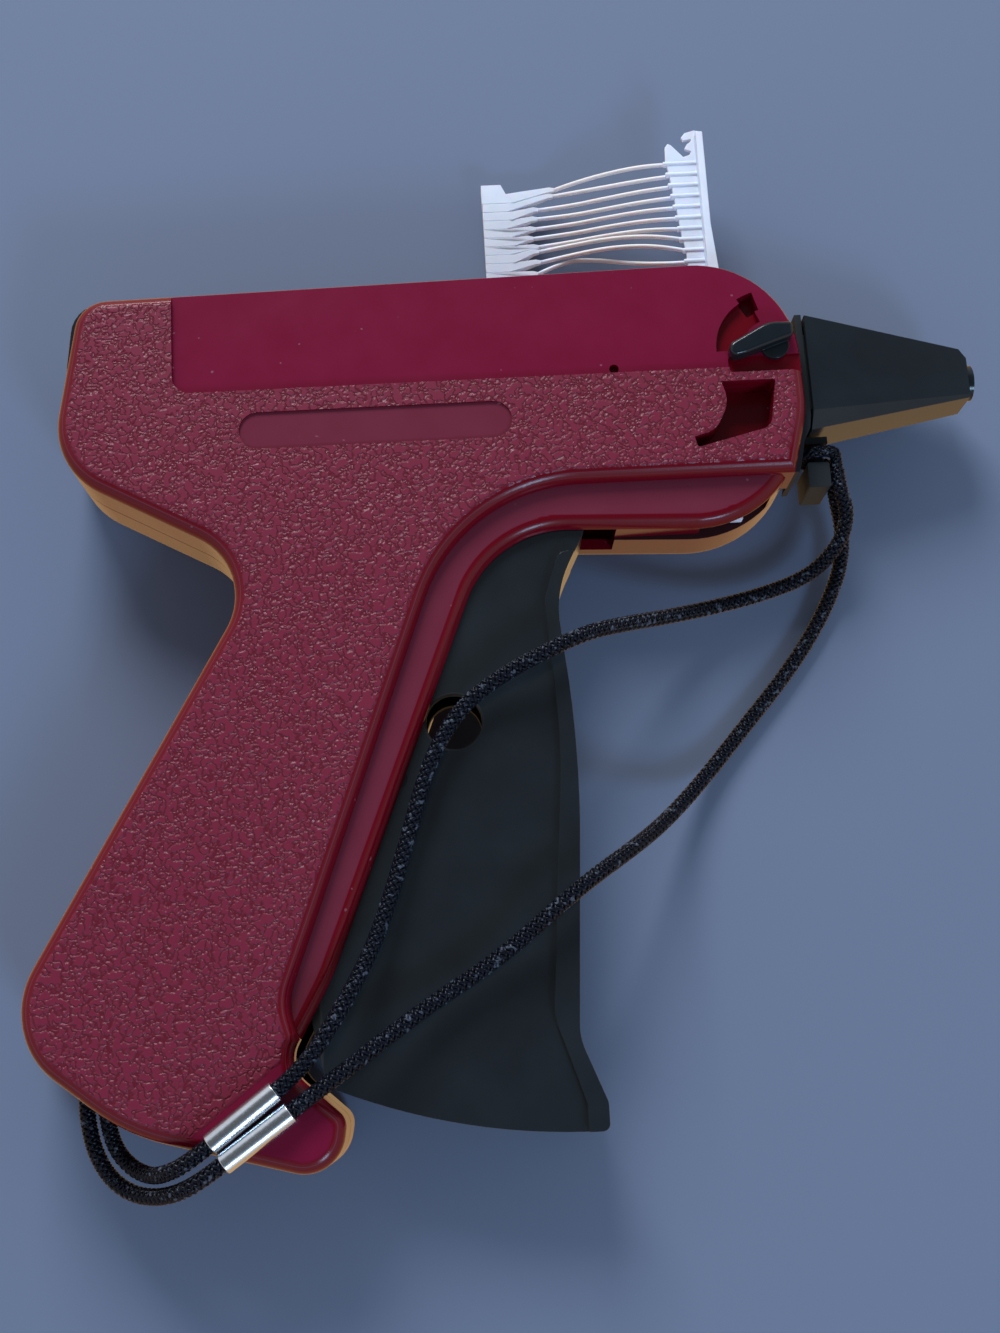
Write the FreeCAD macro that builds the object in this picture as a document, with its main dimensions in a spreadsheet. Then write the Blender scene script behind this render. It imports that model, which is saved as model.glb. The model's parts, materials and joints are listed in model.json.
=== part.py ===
import FreeCAD, Part
import math
import os

from FreeCAD import Placement, Rotation, Vector

# A tagging gun that shoots plastic garment-tag fasteners, lying on its side.
# Millimetres. +X runs along the needle, +Z up out of the side it lies on.
# Origin: on the face it lies on, in line with the trigger's pin.

doc = FreeCAD.newDocument("tag_attacher")

# ---------------------------------------------------------------- the sheet

SIZES = {
    # casing
    "casing_thickness": 22.2,
    "side_wall": 2.0,
    "face_wall": 2.5,
    "edge_round": 2.6,
    "ledge_drop": 3.0,
    "ledge_wall": 2.0,
    "panel_depth": 1.0,
    "label_depth": 0.4,
    "lower_recess_depth": 5.8,
    "recess_floor": 1.0,
    "seat_gap": 0.3,
    "slide_gap": 0.2,
    "pin_clearance": 0.05,
    # screws and their bosses
    "boss_radius": 3.2,
    "screw_radius": 1.2,
    "screw_head_radius": 2.4,
    "screw_head_height": 1.4,
    "screw_length": 15.0,
    "screw_sink": 2.2,
    # needle line
    "needle_line": 18.8,
    "needle_radius": 1.2,
    "needle_bore": 0.75,
    "needle_slot": 0.7,
    "needle_start": 33.6,
    "needle_tip": 68.4,
    "base_half_width": 3.0,
    "base_half_height": 2.8,
    "base_start": 33.9,
    "base_length": 18.0,
    "rod_radius": 0.6,
    "rod_tip": 24.0,
    # front frame and lug
    "frame_start": 33.5,
    "frame_half_height": 3.9,
    "flange_height": 13.2,
    "plug_half_height": 5.8,
    "plug_end": 50.5,
    "neck_height": 4.0,
    "head_height": 10.0,
    # trigger
    "flange_thickness": 14.0,
    "web_thickness": 11.2,
    "hollow_thickness": 7.6,
    "trigger_pin_radius": 2.0,
    "trigger_hub_radius": 5.5,
    "trigger_reach": 109.4,
    "trigger_hole_radius": 4.8,
    "cross_pin_radius": 1.5,
    "cross_pin_x": -31.0,
    "cross_pin_y": -50.0,
    # drive lever
    "lever_x": -42.0,
    "lever_y": -27.0,
    "lever_plate": 4.0,
    "lever_pin_radius": 2.0,
    "lever_hub_radius": 5.0,
    "lever_boss_radius": 4.2,
    "lever_swing": 52.0,
    "lever_upper_length": 53.0,
    "lever_tip": 25.8,
    "lever_spring_face": 3.0,
    "fork_slot": 4.6,
    "fork_prong": 1.8,
    # slider and its channel
    "slider_pin_radius": 1.5,
    "slider_half_height": 3.5,
    "slider_low": 13.5,
    "slider_bridge": 27.5,
    "slider_top": 29.0,
    "slider_behind": 8.5,
    "slider_ahead": 11.0,
    "slider_front_wall": 2.7,
    "guide_wall": 1.5,
    "guide_start": -74.0,
    "guide_end": -15.4,
    # feeding
    "fastener_pitch": 2.25,
    "fastener_count": 21,
    "paddle_pitch": 1.8,
    "tbar_radius": 0.5,
    "tbar_start": 24.6,
    "runner_start": 30.2,
    "runner_width": 2.3,
    "runner_height": 2.0,
    "runner_rise": 0.8,
    "web_start": 27.0,
    "web_height": 0.6,
    "filament_radius": 0.3,
    "filament_level": 3.9,
    "paddle_height": 3.0,
    "wheel_teeth": 8,
    "wheel_tip_radius": 3.0,
    "wheel_root_radius": 2.1,
    "wheel_tooth_width": 0.9,
    "wheel_start": 25.2,
    "wheel_width": 1.6,
    "wheel_bar": 2,
    "axle_radius": 1.0,
    # recess for the tags' tails in the lower shell
    "tail_recess_left": -13.0,
    "tail_recess_right": 32.0,
    "tail_recess_bottom": 10.5,
    "tail_recess_depth": 5.8,
    "tail_recess_floor": 1.2,
    # needle guard
    "guard_start": 45.8,
    "guard_length": 29.6,
    "guard_wall": 1.5,
    "guard_mouth_half": 8.3,
    "guard_tip_half": 4.5,
    "collar_radius": 3.25,
    "collar_length": 1.5,
    "collar_bore": 2.0,
    # lock lever
    "lock_x": 39.4,
    "lock_y": 23.4,
    "lock_shaft_radius": 2.0,
    "lock_blade_height": 2.8,
    # return spring
    "spring_radius": 3.0,
    "spring_wire": 1.0,
    "spring_turns": 6,
    "spring_y": -39.5,
    "spring_seat": -62.5,
    "spring_end": -39.3,
    # lanyard
    "cord_radius": 1.25,
    "ferrule_radius": 1.7,
}

sheet = doc.addObject("Spreadsheet::Sheet", "Sizes")
for number, (alias, value) in enumerate(SIZES.items(), start=1):
    sheet.set("A%d" % number, alias)
    sheet.set("B%d" % number, str(value))
    sheet.setAlias("B%d" % number, alias)
doc.recompute()


def size(alias):
    return float(sheet.get(alias))


# ------------------------------------------------------- outlines and points

# Corners of closed outlines, counterclockwise: x, y and the rounding's radius.
CASING = [
    (-84.2, 38.7, 6.0),  # rear top
    (-89.4, 7.6, 14.0),  # rear bottom
    (-52.9, -12.4, 12.0),  # crook of the thumb
    (-97.6, -88.9, 14.0),  # heel
    (-76.5, -105.6, 35.0),  # sole
    (-42.8, -114.9, 6.5),  # toe
    (-41.2, -105.0, 3.0),  # toe tip
    (-50.8, -96.3, 5.0),  # instep
    (-43.1, -82.5, 40.0),  # shin
    (-12.5, -6.8, 19.0),  # throat
    (38.7, -9.1, 20.0),  # chin
    (44.3, 11.5, 20.0),  # snout
    (43.9, 40.8, 18.5),  # brow
]
REAR_TOP, CROOK, HEEL, INSTEP, SHIN, THROAT, CHIN, SNOUT, BROW = 0, 2, 3, 7, 8, 9, 10, 11, 12


def wall_x(first, second, y):
    """Where the casing's wall between two corners stands at y."""
    a = CASING[first]
    b = CASING[second]
    return a[0] + (b[0] - a[0]) * (y - a[1]) / (b[1] - a[1])


# The upper shell's raised part leaves a lower ledge on the trigger's side.
RAISED = CASING[:SHIN] + [
    (wall_x(INSTEP, SHIN, -92.2), -92.2, 0),
    (-50.3, -86.2, 9.0),
    (-17.5, 0.2, 30.0),
    (wall_x(CHIN, SNOUT, 0.2), 0.2, 0),
] + CASING[SNOUT:]
LEDGE_BEND = 10

SCREW_PLACES = [
    (-79.0, 31.0),
    (-75.0, -62.0),
    (-84.0, -86.0),
    (-52.0, -106.0),
    (-30.0, 34.2),
    (15.0, 6.0),
]


def offset_corners(corners, inset):
    """The outline moved inwards by inset, with its roundings still concentric."""
    moved = []
    count = len(corners)
    for i in range(count):
        before = corners[i - 1]
        here = corners[i]
        after = corners[(i + 1) % count]
        a = Vector(here[0] - before[0], here[1] - before[1], 0).normalize()
        b = Vector(after[0] - here[0], after[1] - here[1], 0).normalize()
        left_a = Vector(-a.y, a.x, 0)
        left_b = Vector(-b.y, b.x, 0)
        shift = (left_a + left_b) * (inset / (1 + left_a.dot(left_b)))
        convex = a.x * b.y - a.y * b.x > 0
        radius = here[2] - inset if convex else here[2] + inset
        if here[2] == 0:
            radius = 0
        moved.append((here[0] + shift.x, here[1] + shift.y, max(radius, 0)))
    return moved


def rounded(corners):
    """Lines and tangent arcs along a closed outline of rounded corners."""
    stops = []
    count = len(corners)
    for i in range(count):
        here = Vector(corners[i][0], corners[i][1], 0)
        before = Vector(corners[i - 1][0], corners[i - 1][1], 0)
        after = Vector(corners[(i + 1) % count][0], corners[(i + 1) % count][1], 0)
        radius = corners[i][2]
        into = (here - before).normalize()
        out = (after - here).normalize()
        turn = into.getAngle(out)
        if radius <= 0 or turn < 1e-6:
            stops.append((here, None, here))
            continue
        reach = radius * math.tan(turn / 2)
        inward = (out - into).normalize()
        middle = here + inward * (radius / math.cos(turn / 2) - radius)
        stops.append((here - into * reach, middle, here + out * reach))
    edges = []
    for i in range(count):
        start, middle, end = stops[i]
        if middle is not None:
            edges.append(Part.Arc(start, middle, end))
        following = stops[(i + 1) % count][0]
        if (following - end).Length > 1e-6:
            edges.append(Part.LineSegment(end, following))
    return edges


def rectangle(x0, y0, x1, y1, radius=0):
    return rounded([(x0, y0, radius), (x1, y0, radius), (x1, y1, radius), (x0, y1, radius)])


def circle(x, y, radius):
    return [Part.Circle(Vector(x, y, 0), Vector(0, 0, 1), radius)]


def height_on(corners, first, second, x):
    """Where the line between two corners of an outline stands at x."""
    a = corners[first]
    b = corners[second]
    return a[1] + (b[1] - a[1]) * (x - a[0]) / (b[0] - a[0])


def polar(radius, degrees):
    angle = math.radians(degrees)
    return radius * math.cos(angle), radius * math.sin(angle)


def beside_arc(radius, degrees, ahead):
    """The point reached by leaving a circle about the origin along its tangent."""
    x, y = polar(radius, degrees)
    u, v = polar(ahead, degrees + 90)
    return x + u, y + v


def arc_corner(radius, first, last):
    """The corner that an arc about the origin rounds off, and its radius."""
    x, y = polar(radius / math.cos(math.radians((last - first) / 2)), (first + last) / 2)
    return x, y, radius


# --------------------------------------------------------- feature helpers

made = []


def keep(thing):
    made.append(thing)
    return thing


def add_body(label, level=None):
    body = doc.addObject("PartDesign::Body", label)
    body.Label = label
    if level is not None:
        body.setExpression(".Placement.Base.z", level)
    return keep(body)


def add_sketch(body, name, edges, level=None, plane="XY_Plane"):
    sketch = body.newObject("Sketcher::SketchObject", name)
    origin = [f for f in body.Origin.OriginFeatures if f.Role == plane][0]
    sketch.AttachmentSupport = [(origin, "")]
    sketch.MapMode = "FlatFace"
    if level is not None:
        sketch.setExpression(".AttachmentOffset.Base.z", level)
    for edge in edges:
        sketch.addGeometry(edge, False)
    return sketch


def pad(body, name, edges, length, level=None, both_ways=False, plane="XY_Plane"):
    sketch = add_sketch(body, name + "_sketch", edges, level, plane)
    feature = body.newObject("PartDesign::Pad", name)
    feature.Profile = sketch
    feature.setExpression("Length", length)
    feature.Midplane = both_ways
    doc.recompute()
    return feature


def pocket(body, name, edges, length, level=None, up=True, both_ways=False, plane="XY_Plane"):
    before = body.Shape.Volume
    sketch = add_sketch(body, name + "_sketch", edges, level, plane)
    feature = body.newObject("PartDesign::Pocket", name)
    feature.Profile = sketch
    feature.setExpression("Length", length)
    feature.Reversed = up
    feature.Midplane = both_ways
    doc.recompute()
    if body.Shape.Volume > before - 1e-3:
        raise RuntimeError("%s: %s cuts nothing, %s" % (body.Label, name, feature.State))
    return feature


def loft(body, kind, name, first, second, first_level, second_level):
    feature_sketches = [
        add_sketch(body, name + "_first", first, first_level, "YZ_Plane"),
        add_sketch(body, name + "_second", second, second_level, "YZ_Plane"),
    ]
    feature = body.newObject(kind, name)
    feature.Profile = feature_sketches[0]
    feature.Sections = [feature_sketches[1]]
    feature.Ruled = True
    doc.recompute()
    return feature


def round_edges(body, name, radius, chosen):
    base = body.Tip
    names = []
    for number, edge in enumerate(base.Shape.Edges, start=1):
        if chosen(edge.BoundBox):
            names.append("Edge%d" % number)
    feature = body.newObject("PartDesign::Fillet", name)
    feature.Base = (base, names)
    feature.setExpression("Radius", radius)
    doc.recompute()
    return feature


def at_level(level):
    return lambda bounds: abs(bounds.ZMin - level) < 1e-4 and abs(bounds.ZMax - level) < 1e-4


def add_shape(label, shape):
    feature = doc.addObject("Part::Feature", label)
    feature.Label = label
    feature.Shape = shape
    return keep(feature)


def add_pin(label, x, y, low, high, radius):
    pin = doc.addObject("Part::Cylinder", label)
    pin.Label = label
    pin.setExpression("Radius", radius)
    pin.setExpression("Height", "(%s) - (%s)" % (high, low))
    pin.setExpression(".Placement.Base.x", x)
    pin.setExpression(".Placement.Base.y", y)
    pin.setExpression(".Placement.Base.z", low)
    return keep(pin)


def box(x0, y0, z0, x1, y1, z1):
    return Part.makeBox(x1 - x0, y1 - y0, z1 - z0, Vector(x0, y0, z0))


# ----------------------------------------------------------- derived values

WALL = size("side_wall")
MIDDLE = size("casing_thickness") / 2
LINE = size("needle_line")
HALF = "Sizes.casing_thickness / 2"
LEDGE_TOP = HALF + " - Sizes.ledge_drop"
LEDGE_INSIDE = LEDGE_TOP + " - Sizes.ledge_wall"
FACE_INSIDE = HALF + " - Sizes.face_wall"
RECESS_INSIDE = HALF + " - Sizes.lower_recess_depth - Sizes.recess_floor"
TAIL_FLOOR = "Sizes.tail_recess_depth + Sizes.tail_recess_floor"
SLOT_HALF = "Sizes.web_thickness / 2 + Sizes.seat_gap"
SNOUT_HALF = "Sizes.frame_half_height + Sizes.slide_gap"
PIN_HOLE = size("trigger_pin_radius") + size("pin_clearance")
LEVER_HOLE = size("lever_pin_radius") + size("pin_clearance")
SCREW_HOLE = size("screw_radius") + size("pin_clearance")
LOCK_HOLE = size("lock_shaft_radius") + size("pin_clearance")

HOLLOW = offset_corners(CASING, WALL)
RAISED_HOLLOW = offset_corners(RAISED, WALL)

SLOT_RIGHT = 9.4
TRIGGER_SLOT = [
    (SLOT_RIGHT, 0.0, 0),
    (-13.0, 0.0, 0),
    (-24.0, -16.0, 0),
    (-48.0, -80.0, 0),
    (-56.0, -96.0, 0),
    (-40.0, -103.3, 0),
    (-34.0, -100.0, 0),
    (SLOT_RIGHT, -20.0, 0),
]
INLET_LEFT = size("tbar_start") - 0.4
INLET_RIGHT = size("runner_start") + size("runner_width") + 0.8
INLET = (INLET_LEFT, 32.0, INLET_RIGHT, 48.0)
OUTLET = (24.5, -14.0, 37.0, -2.0)
FLAT = (SLOT_RIGHT, -12.0, OUTLET[0], -7.4)
SNOUT_HOLE = (38.0, 11.0, 48.0, 26.8)
EYELET = (-87.0, -112.0, -79.6, -95.2)
EYELET_HALF = "1.9"
SPRING_RIB = [
    (wall_x(CROOK, HEEL, -35.0) + WALL / 2, -35.0, 0),
    (wall_x(CROOK, HEEL, -44.0) + WALL / 2, -44.0, 0),
    (size("spring_seat"), -44.0, 0),
    (size("spring_seat"), -35.0, 0),
]
CORNER_CENTRE = offset_corners(CASING, CASING[REAR_TOP][2])[REAR_TOP]
NOTCH_ANGLES = (112.0, 152.0)
TRIGGER_TRAVEL = 18.0


def sector(centre, inner, outer, first, last):
    """A ring segment, as arcs and lines."""
    middle = (first + last) / 2
    points = []
    for radius, angle in ((inner, first), (outer, first), (outer, middle), (outer, last),
                          (inner, last), (inner, middle)):
        x, y = polar(radius, angle)
        points.append(Vector(centre[0] + x, centre[1] + y, 0))
    return [
        Part.LineSegment(points[0], points[1]),
        Part.Arc(points[1], points[2], points[3]),
        Part.LineSegment(points[3], points[4]),
        Part.Arc(points[4], points[5], points[0]),
    ]


CORNER_NOTCH = sector(CORNER_CENTRE, 3.0, 8.0, *NOTCH_ANGLES)


def circles(places, radius):
    edges = []
    for x, y in places:
        edges += circle(x, y, radius)
    return edges


# ------------------------------------------------------------- upper shell


def make_upper_shell():
    shell = add_body("upper_shell", HALF)
    pad(shell, "ledge_block", rounded(CASING), LEDGE_TOP)
    round_edges(shell, "ledge_edge", "Sizes.edge_round", at_level(MIDDLE - size("ledge_drop")))
    pad(shell, "raised_block", rounded(RAISED), HALF)
    round_edges(shell, "face_edge", "Sizes.edge_round", at_level(MIDDLE))

    # Three depths of hollow: below the lower recess, the ledge and the face.
    pocket(shell, "shallow_hollow", rounded(HOLLOW), RECESS_INSIDE)
    step_x = 22.6
    step_y = 18.6
    side = HOLLOW[BROW][0]
    ledge_hollow = HOLLOW[: THROAT + 1] + [
        (step_x, height_on(HOLLOW, THROAT, CHIN, step_x), 0),
        (step_x, step_y, 0),
        (side, step_y, 0),
        HOLLOW[BROW],
    ]
    pocket(shell, "ledge_hollow", rounded(ledge_hollow), LEDGE_INSIDE)
    front_x = 20.0
    face_hollow = RAISED_HOLLOW[: LEDGE_BEND + 1] + [
        (front_x, RAISED_HOLLOW[LEDGE_BEND][1], 0),
        (front_x, height_on(HOLLOW, BROW, REAR_TOP, front_x), 0),
    ]
    pocket(shell, "face_hollow", rounded(face_hollow), FACE_INSIDE)

    # What the face shows: a smooth panel, a label's place and three recesses.
    panel = [(-67.5, 19.6, 3.2), (60.0, 19.6, 0), (60.0, 60.0, 0), (-67.5, 60.0, 0)]
    pocket(shell, "panel", rounded(panel), "Sizes.panel_depth", HALF, up=False)
    pocket(shell, "label_place", rectangle(-55.9, 8.6, -8.1, 15.4, 3.3), "Sizes.label_depth",
           HALF, up=False)
    pocket(shell, "sight_hole", circle(10.6, 20.7, 0.85), "2.2", HALF, up=False)
    lock = (size("lock_x"), size("lock_y"))
    pocket(shell, "lever_flat", rectangle(31.0, 18.6, 50.0, 22.0, 0.6), "Sizes.panel_depth + 0.5",
           HALF, up=False)
    pocket(shell, "arc_recess", sector(lock, 5.4, 10.3, 112.0, 182.0), "Sizes.panel_depth + 1.3",
           HALF, up=False)
    pocket(shell, "arc_stop", sector(lock, 7.6, 11.2, 106.0, 122.0), "Sizes.panel_depth + 2.6",
           HALF, up=False)
    lower_recess = [
        (23.7, 6.9, 0),
        (24.2, 4.9, 0.5),
        (37.4, 8.1, 2.5),
        (38.9, 17.0, 0.4),
        (29.2, 17.0, 0),
        (30.4, 13.2, 6.0),
        (27.6, 8.0, 4.0),
    ]
    pocket(shell, "lower_recess", rounded(lower_recess), "Sizes.lower_recess_depth", HALF, up=False)

    # Openings in the walls.
    pocket(shell, "trigger_slot", rounded(TRIGGER_SLOT), SLOT_HALF)
    pocket(shell, "inlet", rectangle(*INLET), "Sizes.runner_rise + Sizes.runner_height + 0.5")
    pocket(shell, "outlet", rectangle(*OUTLET), LEDGE_INSIDE + " - 0.2")
    pocket(shell, "underside_flat", rectangle(*FLAT), LEDGE_INSIDE + " - 0.2")
    pocket(shell, "snout_hole", rectangle(*SNOUT_HOLE), SNOUT_HALF)
    pocket(shell, "eyelet", rectangle(*EYELET), EYELET_HALF)
    pocket(shell, "corner_notch", CORNER_NOTCH, "1.7")
    pocket(shell, "lock_bore", circle(*lock, LOCK_HOLE), HALF)

    # Bosses and seats.
    pad(shell, "screw_bosses", circles(SCREW_PLACES, size("boss_radius")), FACE_INSIDE)
    pocket(shell, "screw_holes", circles(SCREW_PLACES, SCREW_HOLE),
           "Sizes.screw_sink + Sizes.screw_length + 0.5 - Sizes.casing_thickness / 2")
    pad(shell, "spring_rib", rounded(SPRING_RIB), FACE_INSIDE)
    lever = (size("lever_x"), size("lever_y"))
    boss_level = "Sizes.lever_plate / 2 + Sizes.slide_gap"
    pad(shell, "lever_boss", circle(*lever, size("lever_boss_radius")),
        FACE_INSIDE + " - (" + boss_level + ")", boss_level)
    pocket(shell, "lever_bore", circle(*lever, LEVER_HOLE), FACE_INSIDE)
    pocket(shell, "trigger_bore", circle(0, 0, PIN_HOLE), LEDGE_TOP + " - 0.7")
    return shell


# ------------------------------------------------------------- lower shell


def brow_to(x):
    """The hollow's round front corner, cut short where it comes to x."""
    centre = offset_corners(CASING, CASING[BROW][2])[BROW]
    corner = HOLLOW[BROW]
    wall = HOLLOW[SNOUT]
    radius = corner[2]
    first = math.atan2(wall[0] - corner[0], corner[1] - wall[1])
    last = math.acos((x - centre[0]) / radius)
    reach = radius / math.cos((last - first) / 2)
    middle = (first + last) / 2
    return [
        (centre[0] + reach * math.cos(middle), centre[1] + reach * math.sin(middle), radius),
        (x, centre[1] + radius * math.sin(last), 0),
    ]


def make_lower_shell():
    shell = add_body("lower_shell")
    pad(shell, "block", rounded(CASING), HALF)
    round_edges(shell, "face_edge", "Sizes.edge_round", at_level(0))
    pocket(shell, "hollow", rounded(HOLLOW), HALF + " - (" + TAIL_FLOOR + ")", HALF, up=False)
    left = size("tail_recess_left")
    right = size("tail_recess_right")
    bottom = size("tail_recess_bottom")
    beside_recess = HOLLOW[:BROW] + brow_to(right + WALL) + [
        (right + WALL, bottom - WALL, 0),
        (left - WALL, bottom - WALL, 0),
        (left - WALL, height_on(HOLLOW, BROW, REAR_TOP, left - WALL), 0),
    ]
    pocket(shell, "deep_hollow", rounded(beside_recess), FACE_INSIDE, HALF, up=False)
    recess = [(left, bottom, 3.0), (right, bottom, 3.0), (right, 60.0, 0), (left, 60.0, 0)]
    pocket(shell, "tail_recess", rounded(recess), "Sizes.tail_recess_depth")
    tbar_middle = size("tbar_start") + 2.8
    slit = (tbar_middle - 1.5, 12.5, tbar_middle + 1.5, 60.0)
    pocket(shell, "filament_slit", rectangle(*slit), HALF)
    pocket(shell, "inlet", rectangle(*INLET), "Sizes.tbar_radius + 0.6", HALF, up=False)
    pocket(shell, "trigger_slot", rounded(TRIGGER_SLOT), SLOT_HALF, HALF, up=False)
    pocket(shell, "snout_hole", rectangle(*SNOUT_HOLE), SNOUT_HALF, HALF, up=False)
    pocket(shell, "eyelet", rectangle(*EYELET), EYELET_HALF, HALF, up=False)
    pocket(shell, "corner_notch", CORNER_NOTCH, "1.7", HALF, up=False)

    pad(shell, "screw_bosses", circles(SCREW_PLACES, size("boss_radius")), FACE_INSIDE,
        "Sizes.face_wall")
    pocket(shell, "screw_holes", circles(SCREW_PLACES, SCREW_HOLE), HALF)
    head_hole = size("screw_head_radius") + size("seat_gap")
    pocket(shell, "head_holes", circles(SCREW_PLACES, head_hole), "Sizes.screw_sink")
    pad(shell, "spring_rib", rounded(SPRING_RIB), FACE_INSIDE, "Sizes.face_wall")
    lever = (size("lever_x"), size("lever_y"))
    boss_height = FACE_INSIDE + " - Sizes.lever_plate / 2 - Sizes.slide_gap"
    pad(shell, "lever_boss", circle(*lever, size("lever_boss_radius")), boss_height,
        "Sizes.face_wall")
    pocket(shell, "lever_bore", circle(*lever, LEVER_HOLE), HALF, "Sizes.face_wall - 1")
    hub_boss = FACE_INSIDE + " - Sizes.web_thickness / 2 - Sizes.slide_gap"
    pad(shell, "trigger_boss", circle(0, 0, 4.5), hub_boss, "Sizes.face_wall")
    pocket(shell, "trigger_bore", circle(0, 0, PIN_HOLE), HALF, "Sizes.face_wall - 1")
    return shell


def make_screws():
    screws = []
    radius = size("screw_radius")
    head = size("screw_head_radius")
    head_height = size("screw_head_height")
    for x, y in SCREW_PLACES:
        seat = size("screw_sink")
        head_shape = Part.makeCylinder(head, head_height, Vector(x, y, seat - head_height))
        shank = Part.makeCylinder(radius, size("screw_length"), Vector(x, y, seat))
        foot = seat - head_height
        cross = box(x - 1.5, y - 0.35, foot, x + 1.5, y + 0.35, seat - 0.6)
        cross = cross.fuse(box(x - 0.35, y - 1.5, foot, x + 0.35, y + 1.5, seat - 0.6))
        screws.append(head_shape.fuse(shank).cut(cross).removeSplitter())
    return add_shape("casing_screws", Part.makeCompound(screws))


def make_corner_insert():
    insert = add_body("rear_corner_insert", HALF)
    radius = CASING[REAR_TOP][2]
    pad(insert, "crescent", sector(CORNER_CENTRE, radius + 0.05, radius + 1.2, 91.0, 172.0), "14.4",
        both_ways=True)
    pad(insert, "tongue", sector(CORNER_CENTRE, 3.2, radius + 0.6, NOTCH_ANGLES[0] + 2,
                                 NOTCH_ANGLES[1] - 2), "3.0", both_ways=True)
    return insert


# ----------------------------------------------- front frame, needle, guard


def make_front_frame():
    frame = add_body("front_frame", HALF)
    start = size("frame_start")
    pad(frame, "seat_block", rectangle(start, 11.4, 44.6, 26.4), "2 * Sizes.frame_half_height",
        both_ways=True)
    flange = [
        (44.4, 31.0, 0),
        (44.4, 11.5, 0),
        (43.1, 6.6, 0),
        (41.6, 1.0, 0),
        (42.6, 1.0, 0),
        (43.5, 4.6, 0),
        (43.95, 6.8, 0),
        (45.2, 9.2, 0),
        (45.6, 11.5, 0),
        (45.6, 31.0, 0),
    ]
    pad(frame, "flange", rounded(flange), "Sizes.flange_height", both_ways=True)
    pad(frame, "plug", rectangle(45.4, 13.0, size("plug_end"), 27.4, 0.8),
        "2 * Sizes.plug_half_height", both_ways=True)
    pad(frame, "lug_arm", rectangle(44.8, 7.6, 49.0, 8.9), "Sizes.neck_height + 1", both_ways=True)
    pad(frame, "lug_neck", rectangle(46.4, 3.6, 48.0, 8.0), "Sizes.neck_height", both_ways=True)
    pad(frame, "lug_head", rectangle(44.8, -0.8, 48.8, 3.9, 0.4), "Sizes.head_height",
        "3.1 - Sizes.head_height")
    width = size("base_half_width") + 0.15
    seat = rectangle(LINE - width, -size("base_half_height") - 0.15, LINE + width,
                     size("base_half_height") + 0.15)
    pocket(frame, "base_seat", seat, "Sizes.base_length + 10", "Sizes.frame_start - 1",
           plane="YZ_Plane")
    lock = circle(size("lock_x"), size("lock_y"), LOCK_HOLE)
    pocket(frame, "lock_bore", lock, "2 * Sizes.frame_half_height", both_ways=True)
    return frame


def make_needle_base():
    base = add_body("needle_base", HALF)
    width = size("base_half_width")
    start = size("base_start")
    end = start + size("base_length")
    pad(base, "block", rectangle(start, LINE - width, end, LINE + width, 0.4),
        "2 * Sizes.base_half_height", both_ways=True)
    bore = circle(LINE, 0, size("needle_radius") + size("pin_clearance"))
    pocket(base, "needle_bore", bore, "Sizes.base_length + 2", "Sizes.base_start - 1",
           plane="YZ_Plane")
    lock = circle(size("lock_x"), size("lock_y"), size("lock_shaft_radius") + 0.15)
    pocket(base, "lock_notch", lock, "2 * Sizes.base_half_height", both_ways=True)
    slot = size("needle_slot")
    pocket(base, "filament_slot", rectangle(LINE - slot, -5, LINE + slot, 0),
           "Sizes.base_length + 2", "Sizes.base_start - 1", plane="YZ_Plane")
    return base


def make_needle():
    start = size("needle_start")
    tip = size("needle_tip")
    along = Vector(1, 0, 0)
    foot = Vector(start, LINE, MIDDLE)
    tube = Part.makeCylinder(size("needle_radius"), tip - start, foot, along)
    tube = tube.cut(Part.makeCylinder(size("needle_bore"), tip - start, foot, along))
    slot = size("needle_slot") / 2
    tube = tube.cut(box(start, LINE - slot, MIDDLE - 3, tip, LINE + slot, MIDDLE))
    reach = 6.0
    low = MIDDLE - size("needle_radius")
    high = MIDDLE + size("needle_radius")
    wedge = Part.makePolygon([
        Vector(tip - reach, LINE - 3, low),
        Vector(tip + 1, LINE - 3, low),
        Vector(tip + 1, LINE - 3, high),
        Vector(tip - reach, LINE - 3, low),
    ])
    bevel = Part.Face(wedge).extrude(Vector(0, 6, 0))
    return add_shape("needle", tube.cut(bevel))


def guard_section(low, high, half, cut_y, cut_z, wall=0):
    """The guard's section: its two edges on the trigger's side are bevelled."""
    corners = [
        (low, -half + cut_z, 0),
        (low + cut_y, -half, 0),
        (high, -half, 0),
        (high, half, 0),
        (low + cut_y, half, 0),
        (low, half - cut_z, 0),
    ]
    return rounded(offset_corners(corners, wall))


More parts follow.
